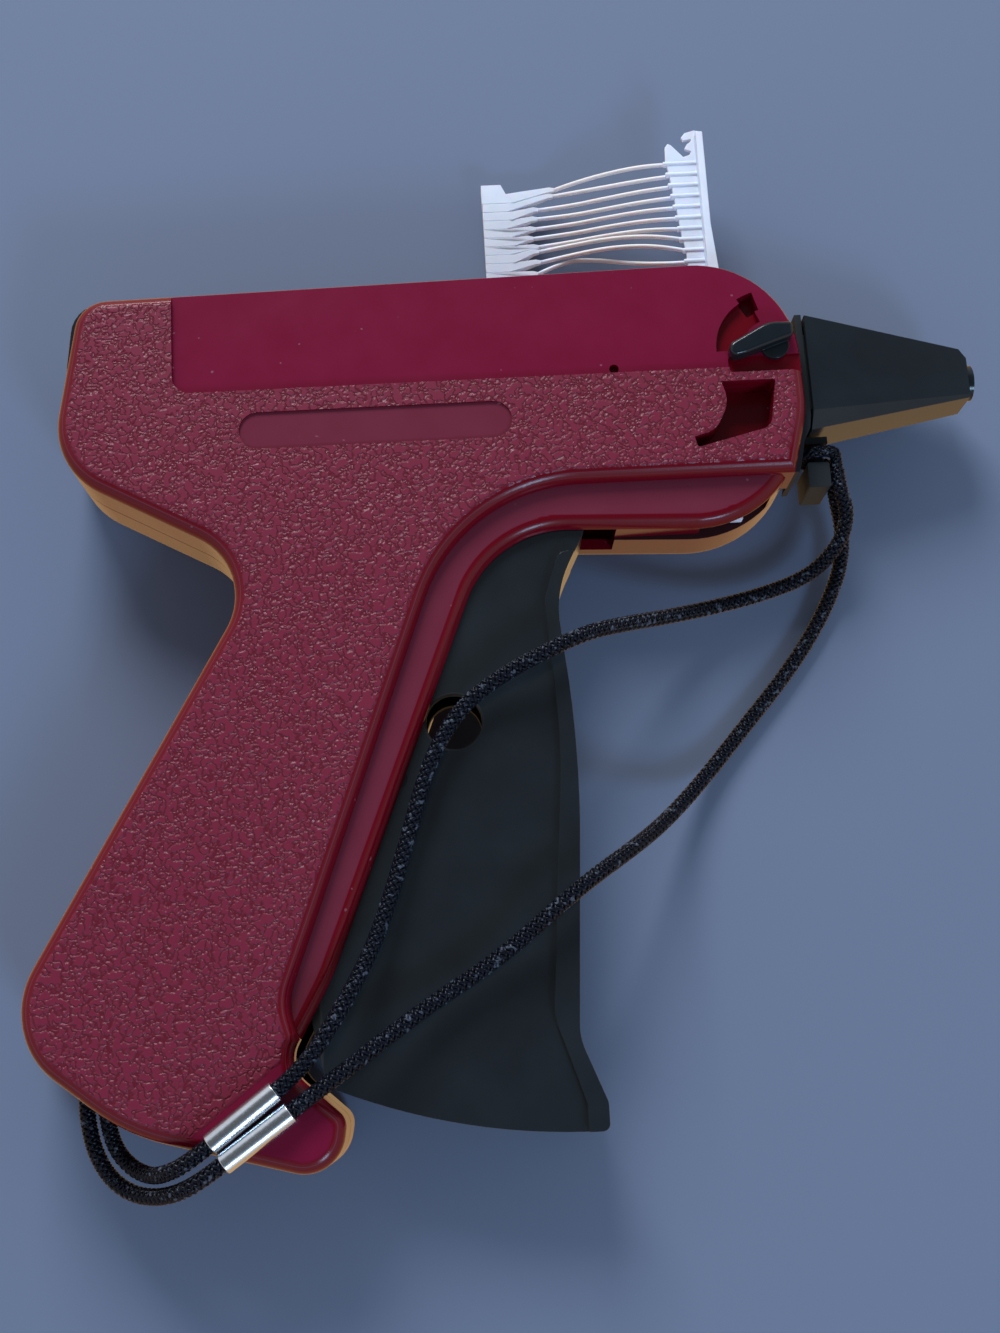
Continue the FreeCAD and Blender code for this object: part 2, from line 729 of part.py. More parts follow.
def make_guard():
    guard = add_body("needle_guard", HALF)
    mouth = (9.3, 30.1, size("guard_mouth_half"), 2.6, 3.0)
    tip = (14.5, 23.4, size("guard_tip_half"), 0.5, 0.5)
    wall = size("guard_wall")
    loft(guard, "PartDesign::AdditiveLoft", "body_loft", guard_section(*mouth),
         guard_section(*tip), "Sizes.guard_start", "Sizes.guard_start + Sizes.guard_length")
    loft(guard, "PartDesign::SubtractiveLoft", "hollow_loft", guard_section(*mouth, wall),
         guard_section(*tip, wall), "Sizes.guard_start",
         "Sizes.guard_start + Sizes.guard_length - Sizes.guard_wall")
    end = size("guard_start") + size("guard_length")
    corner = [(end - 1.4, 30.0, 0), (end - 1.4, 23.9, 0), (end + 0.01, 21.9, 0), (end + 3, 30.0, 0)]
    pocket(guard, "tip_corner", rounded(corner), "20", both_ways=True)
    pad(guard, "collar", circle(LINE, 0, size("collar_radius")),
        "Sizes.collar_length + 0.5", "Sizes.guard_start + Sizes.guard_length - 0.5",
        plane="YZ_Plane")
    pocket(guard, "tip_bore", circle(LINE, 0, size("collar_bore")), "10",
           "Sizes.guard_start + Sizes.guard_length - 4", plane="YZ_Plane")
    return guard


def make_lock_lever():
    lever = add_body("lock_lever", HALF)
    shaft_foot = "-1.5"
    surface = HALF + " - Sizes.panel_depth"
    lock = (size("lock_x"), size("lock_y"))
    blade = [
        (30.7, 20.7, 1.2),
        (34.0, 21.4, 3.0),
        (39.0, 23.2, 6.0),
        (42.6, 24.4, 1.0),
        (42.6, 27.0, 0.8),
        (38.2, 27.2, 6.0),
        (31.2, 23.4, 1.4),
    ]
    pad(lever, "shaft", circle(*lock, size("lock_shaft_radius")), surface + " + 1 + 1.5",
        shaft_foot)
    pad(lever, "disc", circle(*lock, 2.5), "1.0", surface + " + 0.1")
    pad(lever, "blade", rounded(blade), "Sizes.lock_blade_height", surface + " + 0.3")
    top = MIDDLE - size("panel_depth") + 0.3 + size("lock_blade_height")
    round_edges(lever, "blade_edge", "0.7", at_level(top))
    flat = rectangle(lock[0] - 4, lock[1] + 0.9, lock[0] + 4, lock[1] + 4)
    pocket(lever, "shaft_flat", flat, "2.8", shaft_foot)
    return lever


# ----------------------------------------------------------------- trigger


def make_trigger():
    trigger = add_body("trigger", HALF)
    reach = size("trigger_reach")
    first = -113.5
    last = -90.6
    outline = [
        (-5.5, 3.0, 0),
        (-17.0, -6.0, 6.0),
        (-33.5, -47.0, 4.0),
        (-36.0, -56.5, 4.0),
        (-47.5, 23.4 - reach, 8.0),
        (*beside_arc(reach, first, -1.2), 1.0),
        arc_corner(reach, first, last),
        (*beside_arc(reach, last, 2.0), 1.2),
        (0.9, 4.5 - reach, 2.0),
        (-3.1, 14.9 - reach, 10.0),
        (0.2, -47.0, 200.0),
        (-2.3, -19.0, 20.0),
        (3.4, -8.0, 2.0),
        (5.5, 0.0, 0),
    ]
    pad(trigger, "outline", rounded(outline), "Sizes.flange_thickness", both_ways=True)
    pad(trigger, "hub", circle(0, 0, size("trigger_hub_radius")), "Sizes.web_thickness",
        both_ways=True)
    web = [
        (20.0, 20.0, 0),
        (-70.0, 20.0, 0),
        (-70.0, -10.6 - reach, 0),
        (-2.5, -10.6 - reach, 0),
        (-2.5, 4.6 - reach, 3.0),
        (-7.0, 18.6 - reach, 10.0),
        (-2.9, -46.0, 100.0),
        (-4.2, -20.0, 8.0),
        (-1.2, -11.5, 2.0),
        (20.0, -11.5, 0),
    ]
    step = "(Sizes.flange_thickness - Sizes.web_thickness) / 2"
    pocket(trigger, "upper_web", rounded(web), step, "Sizes.flange_thickness / 2", up=False)
    pocket(trigger, "lower_web", rounded(web), step, "-Sizes.flange_thickness / 2")
    hollow = [
        (-6.3, -12.0, 2.0),
        (-20.0, -4.0, 0),
        (-60.0, -40.0, 0),
        (-60.0, 19.4 - reach, 0),
        (*beside_arc(reach - 2.0, first - 8.0, -0.5), 0),
        arc_corner(reach - 2.0, first - 8.0, last - 1.9),
        (*beside_arc(reach - 2.0, last - 1.9, 1.1), 0.8),
        (-3.6, 6.4 - reach, 2.0),
        (-6.3, 17.9 - reach, 15.0),
    ]
    pocket(trigger, "hollow", rounded(hollow), "Sizes.hollow_thickness", both_ways=True)

    # Room for the drive lever's bosses, which pass through the webs.
    lever_range = math.hypot(size("lever_x"), size("lever_y"))
    rest_angle = math.degrees(math.atan2(size("lever_y"), size("lever_x"))) + 360
    room = size("lever_boss_radius") + 0.7
    end_angle = rest_angle + TRIGGER_TRAVEL
    pocket(trigger, "boss_slot", sector((0, 0), lever_range - room, lever_range + room,
                                        rest_angle - 14, end_angle),
           "Sizes.flange_thickness", both_ways=True)
    pocket(trigger, "boss_slot_end", circle(*polar(lever_range, end_angle), room),
           "Sizes.flange_thickness", both_ways=True)
    hole = circle(-21.0, -40.6, size("trigger_hole_radius"))
    pocket(trigger, "finger_hole", hole, "Sizes.flange_thickness", both_ways=True)
    pocket(trigger, "pin_bore", circle(0, 0, PIN_HOLE), "Sizes.flange_thickness", both_ways=True)
    cross = (size("cross_pin_x"), size("cross_pin_y"))
    cross_hole = size("cross_pin_radius") + size("pin_clearance")
    pocket(trigger, "cross_pin_bore", circle(*cross, cross_hole), "Sizes.flange_thickness",
           both_ways=True)
    return trigger


# ------------------------------------------------------------ drive lever


def cam_face():
    """The lower arm's face, seen from the lever's pivot: it follows the trigger's
    cross pin, so that the lever turns in step with the trigger all the way."""
    steps = 10
    centres = []
    for step in range(-1, steps + 3):
        share = step / steps
        pin = Vector(size("cross_pin_x"), size("cross_pin_y"), 0)
        pin = Rotation(Vector(0, 0, -1), TRIGGER_TRAVEL * share).multVec(pin)
        pin = pin - Vector(size("lever_x"), size("lever_y"), 0)
        centres.append(Rotation(Vector(0, 0, 1), size("lever_swing") * share).multVec(pin))
    gap = size("cross_pin_radius") + size("pin_clearance")
    face = []
    for before, here, after in zip(centres, centres[1:], centres[2:]):
        way = (after - before).normalize()
        face.append((here.x - way.y * gap, here.y + way.x * gap))
    return face


def make_drive_lever():
    lever = add_body("drive_lever", HALF)
    pivot = (size("lever_x"), size("lever_y"))
    plate = "Sizes.lever_plate"
    lean = size("lever_swing") / 2

    def along(direction, distance, aside, radius=0):
        x, y = polar(distance, direction)
        u, v = polar(aside, direction + 90)
        return (pivot[0] + x + u, pivot[1] + y + v, radius)

    up = 90 + lean
    prong = size("fork_slot") / 2 + size("fork_prong")
    length = size("lever_upper_length")
    upper_arm = [
        along(up, 0, 3.4),
        along(up, 0, -3.4),
        along(up, 38, -3.0, 10),
        along(up, 42, -prong, 4),
        along(up, length, -prong, 1.2),
        along(up, length, prong, 1.2),
        along(up, 42, prong, 4),
        along(up, 38, 3.0, 10),
    ]
    pad(lever, "upper_arm", rounded(upper_arm), plate, both_ways=True)

    back = size("lever_spring_face")
    tip = size("lever_tip")
    lower_arm = [(-4.6, -1.0, 0), (-1.5, -4.6, 3.0), (back, -9.0, 1.0), (back, -17.0, 8.0),
                 (back + 2.4, -tip, 1.0), (back + 6.2, -tip, 1.0)]
    lower_arm += [(x, y, 0) for x, y in cam_face()] + [(4.0, -2.5, 0)]
    lower_arm = [(pivot[0] + x, pivot[1] + y, radius) for x, y, radius in lower_arm]
    pad(lever, "lower_arm", rounded(lower_arm), plate, both_ways=True)
    pad(lever, "hub", circle(*pivot, size("lever_hub_radius")), plate, both_ways=True)
    slot = size("fork_slot") / 2
    fork = [
        along(up, 42.6, slot, 1.5),
        along(up, length + 2, slot),
        along(up, length + 2, -slot),
        along(up, 42.6, -slot, 1.5),
    ]
    pocket(lever, "fork", rounded(fork), plate, both_ways=True)
    pocket(lever, "pivot_bore", circle(*pivot, LEVER_HOLE), plate, both_ways=True)
    return lever


def slider_pin_x():
    arm = LINE - size("lever_y")
    return size("lever_x") - arm * math.tan(math.radians(size("lever_swing") / 2))


def make_slider():
    slider = add_body("slider", HALF)
    pin = slider_pin_x()
    back = pin - size("slider_behind")
    front = pin + size("slider_ahead")
    low = size("slider_low")
    block = rectangle(back, low, front, size("slider_top"), 0.8)
    pad(slider, "block", block, "2 * Sizes.slider_half_height", both_ways=True)
    inside = rectangle(back - 1, low - 1, front - size("slider_front_wall"), size("slider_bridge"))
    pocket(slider, "lever_room", inside, "Sizes.lever_plate + 2 * Sizes.slide_gap", both_ways=True)
    bore = circle(LINE, 0, size("rod_radius") + size("pin_clearance"))
    pocket(slider, "rod_bore", bore, "20", str(front - 6), plane="YZ_Plane")
    pin_bore = circle(pin, LINE, size("slider_pin_radius") + size("pin_clearance"))
    pocket(slider, "pin_bore", pin_bore, "2 * Sizes.slider_half_height", both_ways=True)
    return slider


def make_pusher_rod():
    start = slider_pin_x() + size("slider_ahead") - size("slider_front_wall")
    rod = doc.addObject("Part::Cylinder", "pusher_rod")
    rod.Label = "pusher_rod"
    rod.setExpression("Radius", "Sizes.rod_radius")
    rod.setExpression("Height", "Sizes.rod_tip - (%.9f)" % start)
    along = Rotation(Vector(0, 0, 1), Vector(1, 0, 0))
    rod.Placement = Placement(Vector(start, LINE, MIDDLE), along)
    return keep(rod)


def make_guide():
    guide = add_body("slider_guide", HALF)
    start = size("guide_start")
    end = size("guide_end")
    gap = size("slide_gap")
    wall = size("guide_wall")
    low = size("slider_low") - 0.5
    inner_top = size("slider_top") + gap
    inner = "2 * (Sizes.slider_half_height + Sizes.slide_gap)"
    pad(guide, "channel", rectangle(start, low, end, inner_top + wall),
        inner + " + 2 * Sizes.guide_wall", both_ways=True)
    for number, x in enumerate((start + 6, end - 10), start=1):
        pad(guide, "lug_%d" % number, rectangle(x, inner_top, x + 6, inner_top + wall + 1.5),
            "2 * (" + FACE_INSIDE + " - Sizes.seat_gap)", both_ways=True)
    pocket(guide, "track", rectangle(start - 1, low - 1, end + 1, inner_top), inner, both_ways=True)
    return guide


def make_spring():
    wire = size("spring_wire")
    radius = size("spring_radius")
    start = size("spring_seat") + size("pin_clearance") + wire / 2
    end = size("spring_end") - wire / 2
    turns = size("spring_turns")
    helix = Part.makeHelix((end - start) / turns, end - start, radius)
    section = Part.Wire(Part.makeCircle(wire / 2, Vector(radius, 0, 0), Vector(0, 1, 0)))
    coil = Part.Wire(helix.Edges).makePipeShell([section], True, True)
    turn = Rotation(Vector(0, 0, 1), Vector(1, 0, 0))
    coil.Placement = Placement(Vector(start, size("spring_y"), MIDDLE), turn)
    return add_shape("return_spring", coil)


# ----------------------------------------------------------------- feeding


def wheel_axis():
    """The wheel's centre, so that one tooth follows one fastener's pitch."""
    pitch_radius = size("fastener_pitch") * size("wheel_teeth") / (2 * math.pi)
    return LINE + size("wheel_bar") * size("fastener_pitch"), pitch_radius


def make_feed_frame():
    frame = add_body("feed_frame", HALF)
    floor = size("tail_recess_depth") + size("tail_recess_floor") - MIDDLE
    pad(frame, "block", rectangle(12.5, 14.0, 22.3, 30.0, 0.6), "9.6",
        str(floor + size("seat_gap")))
    rod = circle(LINE, 0, size("rod_radius") + size("pin_clearance"))
    pocket(frame, "rod_bore", rod, "20", "10", plane="YZ_Plane")
    y, z = wheel_axis()
    axle = circle(y, z, size("axle_radius") + size("pin_clearance"))
    pocket(frame, "axle_bore", axle, "20", "10", plane="YZ_Plane")
    return frame


def make_feed_wheel():
    wheel = add_body("feed_wheel", HALF)
    y, z = wheel_axis()
    root = size("wheel_root_radius")
    tip = size("wheel_tip_radius")
    half = size("wheel_tooth_width") / 2
    start = "Sizes.wheel_start"
    width = "Sizes.wheel_width"
    pad(wheel, "disc", circle(y, z, root), width, start, plane="YZ_Plane")
    teeth = int(size("wheel_teeth"))
    for number in range(teeth):
        angle = -90 + 360 / teeth * (number + 0.5)
        corners = []
        for distance, aside in ((root - 0.6, -half), (tip, -half * 0.6),
                                (tip, half * 0.6), (root - 0.6, half)):
            a, b = polar(distance, angle)
            c, d = polar(aside, angle + 90)
            corners.append((y + a + c, z + b + d, 0))
        pad(wheel, "tooth_%d" % number, rounded(corners), width, start, plane="YZ_Plane")
    bore = circle(y, z, size("axle_radius") + size("pin_clearance"))
    pocket(wheel, "bore", bore, "10", "Sizes.wheel_start - 2", plane="YZ_Plane")
    return wheel


def make_wheel_axle():
    y, z = wheel_axis()
    axle = doc.addObject("Part::Cylinder", "feed_wheel_axle")
    axle.Label = "feed_wheel_axle"
    axle.setExpression("Radius", "Sizes.axle_radius")
    axle.setExpression("Height", "Sizes.wheel_start + Sizes.wheel_width + 0.4 - 13")
    along = Rotation(Vector(0, 0, 1), Vector(1, 0, 0))
    axle.Placement = Placement(Vector(13, y, MIDDLE + z), along)
    return keep(axle)


def tube(points, radius, corner=None):
    """A round bar along straight runs joined by tangent arcs."""
    points = [Vector(*p) for p in points]
    edges = []
    start = points[0]
    radii = []
    for before, here, after in zip(points, points[1:], points[2:]):
        into = (here - before).normalize()
        out = (after - here).normalize()
        turn = into.getAngle(out)
        shorter = min((here - before).Length, (after - here).Length)
        bend = corner or 0.45 * shorter / math.tan(turn / 2)
        reach = bend * math.tan(turn / 2)
        inward = (out - into).normalize()
        middle = here + inward * (bend / math.cos(turn / 2) - bend)
        edges.append(Part.LineSegment(start, here - into * reach).toShape())
        edges.append(Part.Arc(here - into * reach, middle, here + out * reach).toShape())
        start = here + out * reach
        radii.append(bend)
    edges.append(Part.LineSegment(start, points[-1]).toShape())
    path = Part.Wire(edges)
    direction = points[1] - points[0]
    section = Part.Wire(Part.makeCircle(radius, points[0], direction))
    solid = path.makePipeShell([section], True, False)
    return solid, path.Length, radii


def make_clip():
    """A clip of fasteners: T-bars joined by a thin web, thin tails, a stack of paddles.

    A runner joins them too. The lowest T-bar waits one pitch above the pusher rod's line.
    """
    count = int(size("fastener_count"))
    pitch = size("fastener_pitch")
    bar = size("tbar_radius")
    start = size("tbar_start")
    end = size("runner_start") + size("runner_width")
    middle = start + 2.8
    level = size("filament_level")
    thin = size("filament_radius")
    top = LINE + pitch * count
    low = MIDDLE + size("runner_rise")
    high = low + size("runner_height")
    runner_foot = -6.0
    runner = box(size("runner_start"), runner_foot, low, end, top + 6.4, high)
    add_shape("clip_runner", runner)
    web_low = LINE + pitch - bar
    half_web = size("web_height") / 2
    pieces = [box(size("web_start"), web_low, MIDDLE - half_web, size("runner_start") + 0.2,
                  top + bar, MIDDLE + half_web)]
    finger = size("paddle_pitch")
    half = size("paddle_height") / 2
    paddles_top = top - 2.4
    paddles_foot = paddles_top - finger * count
    pieces.append(box(-10.5, paddles_foot, level - half, -6.1, paddles_top + 2.2, level + half))
    for number in range(count):
        y = LINE + pitch * (number + 1)
        tbar_foot = Vector(start, y, MIDDLE)
        pieces.append(Part.makeCylinder(bar, end - start, tbar_foot, Vector(1, 0, 0)))
        neck = box(size("runner_start") + 0.3, y - 0.4, MIDDLE, end - 0.3, y + 0.4, low)
        pieces.append(neck)
        paddle_y = paddles_top - finger * (count - 1 - number)
        tail, length, radii = tube(
            [(middle, y, MIDDLE), (middle, y, level), (3.0, paddle_y, level)], thin, corner=2.5)
        pieces.append(tail)
        blade = Part.makePolygon([
            Vector(-6.4, paddle_y - 0.8, level - 0.9),
            Vector(4.0, paddle_y - 0.25, level - 0.9),
            Vector(4.0, paddle_y + 0.25, level - 0.9),
            Vector(-6.4, paddle_y + 0.8, level - 0.9),
            Vector(-6.4, paddle_y - 0.8, level - 0.9),
        ])
        pieces.append(Part.Face(blade).extrude(Vector(0, 0, 1.8)))
    clip = pieces[0].multiFuse(pieces[1:])
    return add_shape("fastener_clip", clip)


# ----------------------------------------------------------------- lanyard

# The cords' routes, from the lug or the handle to the ferrules.
STRAND_A = [
    (50.3, 2.6, 13.1),
    (50.3, -0.6, 13.1),
    (52.0, -5.0, 11.0),
    (50.6, -9.9, 8.0),
    (45.2, -14.8, 5.4),
    (36.2, -17.6, 4.4),
    (26.8, -19.9, 5.8),
    (17.8, -22.2, 9.6),
    (9.6, -24.6, 15.6),
    (2.4, -27.2, 21.4),
    (-4.8, -30.4, 22.4),
    (-12.0, -33.5, 20.6),
    (-18.6, -37.8, 19.9),
    (-23.4, -43.8, 19.8),
    (-26.9, -51.8, 20.0),
    (-29.6, -60.4, 19.8),
    (-32.5, -68.9, 19.9),
    (-35.4, -76.6, 20.4),
    (-38.7, -83.2, 22.0),
    (-42.9, -90.2, 23.9),
    (-48.05, -97.07, 24.1),
    (-52.1, -100.0, 24.1),
]
STRAND_B = [
    (50.3, 2.6, 9.3),
    (50.3, -0.8, 9.3),
    (51.7, -6.2, 6.6),
    (51.6, -12.2, 3.7),
    (48.9, -18.8, 2.1),
    (44.6, -25.8, 1.6),
    (38.8, -33.2, 1.5),
    (32.0, -40.6, 1.6),
    (25.4, -48.0, 2.0),
    (19.3, -54.4, 4.4),
    (13.4, -59.8, 9.6),
    (7.4, -64.3, 16.4),
    (1.0, -68.6, 21.8),
    (-5.8, -73.6, 22.6),
    (-12.4, -78.8, 20.8),
    (-19.2, -83.3, 20.0),
    (-26.4, -87.4, 20.2),
    (-33.2, -91.9, 21.8),
    (-39.2, -96.2, 23.6),
    (-45.66, -100.5, 24.1),
    (-49.8, -103.3, 24.1),
]
LOOP_A = [
    (-62.6, -107.6, 24.1),
    (-66.25, -110.24, 24.1),
    (-70.2, -112.3, 20.6),
    (-73.6, -113.2, 15.9),
    (-77.9, -111.7, 12.6),
    (-80.9, -108.4, 11.1),
    (-81.9, -103.4, 11.1),
    (-81.7, -99.0, 11.1),
    (-81.7, -94.9, 11.1),
]
LOOP_B = [
    (-60.6, -110.6, 24.1),
    (-64.33, -113.12, 24.1),
    (-68.6, -115.4, 20.7),
    (-72.6, -116.9, 16.3),
    (-77.3, -116.6, 12.6),
    (-81.6, -113.6, 10.9),
    (-84.2, -109.0, 10.9),
    (-85.0, -103.6, 11.1),
    (-84.9, -99.2, 11.1),
    (-84.9, -94.9, 11.1),
]


def make_cord(label, route):
    solid, length, radii = tube(route, size("cord_radius"))
    if solid.Volume < 0:
        solid.reverse()
    expected = math.pi * size("cord_radius") ** 2 * length
    print("%s length %.1f smallest bend %.1f volume %.4f of section times length"
          % (label, length, min(radii), solid.Volume / expected))
    return add_shape(label, solid)


def make_ferrule(label, start, end):
    ferrule = doc.addObject("Part::Cylinder", label)
    ferrule.Label = label
    ferrule.setExpression("Radius", "Sizes.ferrule_radius")
    direction = Vector(*end) - Vector(*start)
    ferrule.setExpression("Height", "%.9f" % direction.Length)
    ferrule.Placement = Placement(Vector(*start), Rotation(Vector(0, 0, 1), direction))
    return keep(ferrule)


def make_hitch():
    """The cord's turn round the lug's neck, with the two legs that leave it."""
    radius = 1.1
    y = 5.75
    x0, x1, z0, z1 = 45.05, 49.35, 7.75, 14.45
    ring = [(x0, y, z0), (x1, y, z0), (x1, y, z1), (x0, y, z1)]
    middle = (x0 + (x1 - x0) / 2, y, z0)
    route = [middle] + ring[1:] + [ring[0], (middle[0] - 0.4, y, z0)]
    turn, length, radii = tube(route, radius, corner=1.4)
    leg = size("cord_radius")
    pieces = [box(middle[0] - 0.5, y - 0.9, z0 - 0.9, middle[0] + 0.1, y + 0.9, z0 + 0.9)]
    for strand in (STRAND_A, STRAND_B):
        x, low, z = strand[0]
        pieces.append(Part.makeCylinder(leg, y - low, Vector(x, low, z), Vector(0, 1, 0)))
        pieces.append(Part.makeSphere(leg, Vector(x, y, z)))
    return add_shape("lanyard_hitch", turn.multiFuse(pieces))


def make_anchor():
    anchor = add_body("lanyard_anchor", HALF)
    pad(anchor, "post", rectangle(-86.2, -94.9, -79.8, -91.6, 0.4),
        "2 * (" + FACE_INSIDE + " - Sizes.seat_gap)", both_ways=True)
    return anchor


# ------------------------------------------------------------ build it all

make_upper_shell()
make_lower_shell()
make_screws()
make_corner_insert()
make_front_frame()
make_needle_base()
make_needle()
make_guard()
make_lock_lever()
make_trigger()
add_pin("trigger_pin", "0", "0", "Sizes.face_wall - 0.8",
        "Sizes.casing_thickness - Sizes.ledge_drop - 0.8", "Sizes.trigger_pin_radius")
add_pin("cross_pin", "Sizes.cross_pin_x", "Sizes.cross_pin_y",
        HALF + " - Sizes.web_thickness / 2 + 0.1", HALF + " + Sizes.web_thickness / 2 - 0.1",
        "Sizes.cross_pin_radius")
make_drive_lever()
add_pin("drive_lever_pin", "Sizes.lever_x", "Sizes.lever_y", "Sizes.face_wall - 0.8",
        "Sizes.casing_thickness - Sizes.face_wall - 0.2", "Sizes.lever_pin_radius")
make_slider()
add_pin("slider_pin", "%.9f" % slider_pin_x(), "Sizes.needle_line",
        HALF + " - Sizes.slider_half_height", HALF + " + Sizes.slider_half_height",
        "Sizes.slider_pin_radius")
make_pusher_rod()
make_guide()
make_spring()
make_feed_frame()
make_feed_wheel()
make_wheel_axle()
make_clip()
make_cord("lanyard_strand_a", STRAND_A)
make_cord("lanyard_strand_b", STRAND_B)
make_cord("loop_cord_a", LOOP_A)
make_cord("loop_cord_b", LOOP_B)
make_ferrule("ferrule_a", STRAND_A[-1], LOOP_A[0])
make_ferrule("ferrule_b", STRAND_B[-1], LOOP_B[0])
make_hitch()
make_anchor()
doc.recompute()

for thing in doc.Objects:
    if "Invalid" in thing.State or "Error" in thing.State:
        raise RuntimeError(thing.Name + " did not build: " + str(thing.State))
for thing in made:
    if thing.Shape.isNull() or not thing.Shape.isValid():
        raise RuntimeError(thing.Label + " is not a valid shape")
    if not thing.Shape.Solids:
        raise RuntimeError(thing.Label + " holds no solid")

os.makedirs("parts", exist_ok=True)
for thing in made:
    thing.Shape.exportStep("parts/" + thing.Label + ".step")
    count = len(thing.Shape.Solids)
    print("%-20s solids %2d volume %9.1f" % (thing.Label, count, thing.Shape.Volume))
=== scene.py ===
# %% [markdown]
# # Dressing a garment tag attacher
#
# The gun was built in CAD as named, jointed solids. Here that imported model is the fixed
# frame, and each visible surface gets the shape and finish of the real tool: grained
# crimson shells, black polished plastic, braided cord, bright ferrules, milky fasteners.
#
# The frame comes first. Dressing rounds and details the solids, but doesn't change their size.

# %% Load the frame
import json
import math

import bmesh
import bpy
import numpy as np
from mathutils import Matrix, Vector


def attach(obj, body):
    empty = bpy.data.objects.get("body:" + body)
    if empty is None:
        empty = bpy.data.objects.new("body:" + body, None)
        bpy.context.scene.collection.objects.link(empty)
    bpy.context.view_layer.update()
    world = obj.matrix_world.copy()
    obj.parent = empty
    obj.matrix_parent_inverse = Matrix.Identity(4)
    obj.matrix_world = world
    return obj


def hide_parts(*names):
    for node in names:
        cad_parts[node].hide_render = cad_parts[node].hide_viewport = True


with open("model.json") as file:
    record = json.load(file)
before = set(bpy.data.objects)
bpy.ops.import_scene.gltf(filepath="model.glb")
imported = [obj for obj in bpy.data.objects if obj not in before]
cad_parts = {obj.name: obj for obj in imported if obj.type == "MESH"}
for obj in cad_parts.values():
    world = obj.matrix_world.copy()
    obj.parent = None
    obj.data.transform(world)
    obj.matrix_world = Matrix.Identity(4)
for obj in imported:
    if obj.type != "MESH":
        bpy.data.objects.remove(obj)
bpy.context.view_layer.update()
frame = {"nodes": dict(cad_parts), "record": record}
MM = 0.001

# %% [markdown]
# ## Camera
#
# The gun lies on its side and is seen from almost straight above, from a little towards
# the foot of the handle. A camera that stands close makes the near edge of the casing
# larger than its foot, so its distance matters as much as its angle.

# %% Camera
IMAGE_HEIGHT = 1333
FOCAL_PIXELS = 1635
CAMERA_PLACE = (-19.5, -95.5, 291.5)
CAMERA_TURN = (13.2005, -0.6823, -3.25)


def add_object(name, data):
    """A new object with this data, put into the scene."""
    thing = bpy.data.objects.new(name, data)
    bpy.context.scene.collection.objects.link(thing)
    return thing


camera_data = bpy.data.cameras.new("Camera")
camera_data.sensor_width = 36.0
camera_data.lens = FOCAL_PIXELS / IMAGE_HEIGHT * camera_data.sensor_width
camera = add_object("Camera", camera_data)
camera.location = [v * MM for v in CAMERA_PLACE]
camera.rotation_euler = [math.radians(a) for a in CAMERA_TURN]
bpy.context.scene.camera = camera
print("lens", round(camera_data.lens, 2), "mm")

# %% [markdown]
# ## The cords
#
# The lanyard is one braided cord, 2.5 mm thick. It is hitched round the lug under the
# nose, its two strands run down across the trigger, each through a metal ferrule, and
# two short cords go on behind the handle's foot and into it. The strands' routes are the
# same as the CAD's, in millimetres, and the loops hang a little tighter than there.

# %% Routes of the cords
STRAND_A = [
    (50.3, 2.6, 13.1), (50.3, -0.6, 13.1), (52.0, -5.0, 11.0), (50.6, -9.9, 8.0),
    (45.2, -14.8, 5.4), (36.2, -17.6, 4.4), (26.8, -19.9, 5.8), (17.8, -22.2, 9.6),
    (9.6, -24.6, 15.6), (2.4, -27.2, 21.4), (-4.8, -30.4, 22.4), (-12.0, -33.5, 20.6),
    (-18.6, -37.8, 19.9), (-23.4, -43.8, 19.8), (-26.9, -51.8, 20.0), (-29.6, -60.4, 19.8),
    (-32.5, -68.9, 19.9), (-35.4, -76.6, 20.4), (-38.7, -83.2, 22.0), (-42.9, -90.2, 23.9),
    (-48.05, -97.07, 24.1), (-52.1, -100.0, 24.1),
]
STRAND_B = [
    (50.3, 2.6, 9.3), (50.3, -0.8, 9.3), (51.7, -6.2, 6.6), (51.6, -12.2, 3.7),
    (48.9, -18.8, 2.1), (44.6, -25.8, 1.6), (38.8, -33.2, 1.5), (32.0, -40.6, 1.6),
    (25.4, -48.0, 2.0), (19.3, -54.4, 4.4), (13.4, -59.8, 9.6), (7.4, -64.3, 16.4),
    (1.0, -68.6, 21.8), (-5.8, -73.6, 22.6), (-12.4, -78.8, 20.8), (-19.2, -83.3, 20.0),
    (-26.4, -87.4, 20.2), (-33.2, -91.9, 21.8), (-39.2, -96.2, 23.6), (-45.66, -100.5, 24.1),
    (-49.8, -103.3, 24.1),
]
LOOP_A = [
    (-62.6, -107.6, 24.1), (-66.25, -110.24, 24.1), (-70.2, -111.8, 20.6),
    (-73.5, -112.3, 15.9), (-77.2, -111.0, 12.6), (-80.1, -108.0, 11.1),
    (-81.5, -103.4, 11.1), (-81.7, -99.0, 11.1), (-81.7, -94.9, 11.1),
]
LOOP_B = [
    (-60.6, -110.6, 24.1), (-64.33, -113.12, 24.1), (-68.6, -114.9, 20.7),
    (-72.7, -115.6, 16.3), (-77.1, -115.1, 12.6), (-80.9, -112.7, 10.9),
    (-83.4, -108.6, 10.9), (-84.6, -103.6, 11.1), (-84.9, -99.2, 11.1),
    (-84.9, -94.9, 11.1),
]
ROUTES = {
    "braid_strand_a": STRAND_A,
    "braid_strand_b": STRAND_B,
    "braid_loop_a": LOOP_A,
    "braid_loop_b": LOOP_B,
}
print(sum(len(route) for route in ROUTES.values()), "points on", len(ROUTES), "routes")

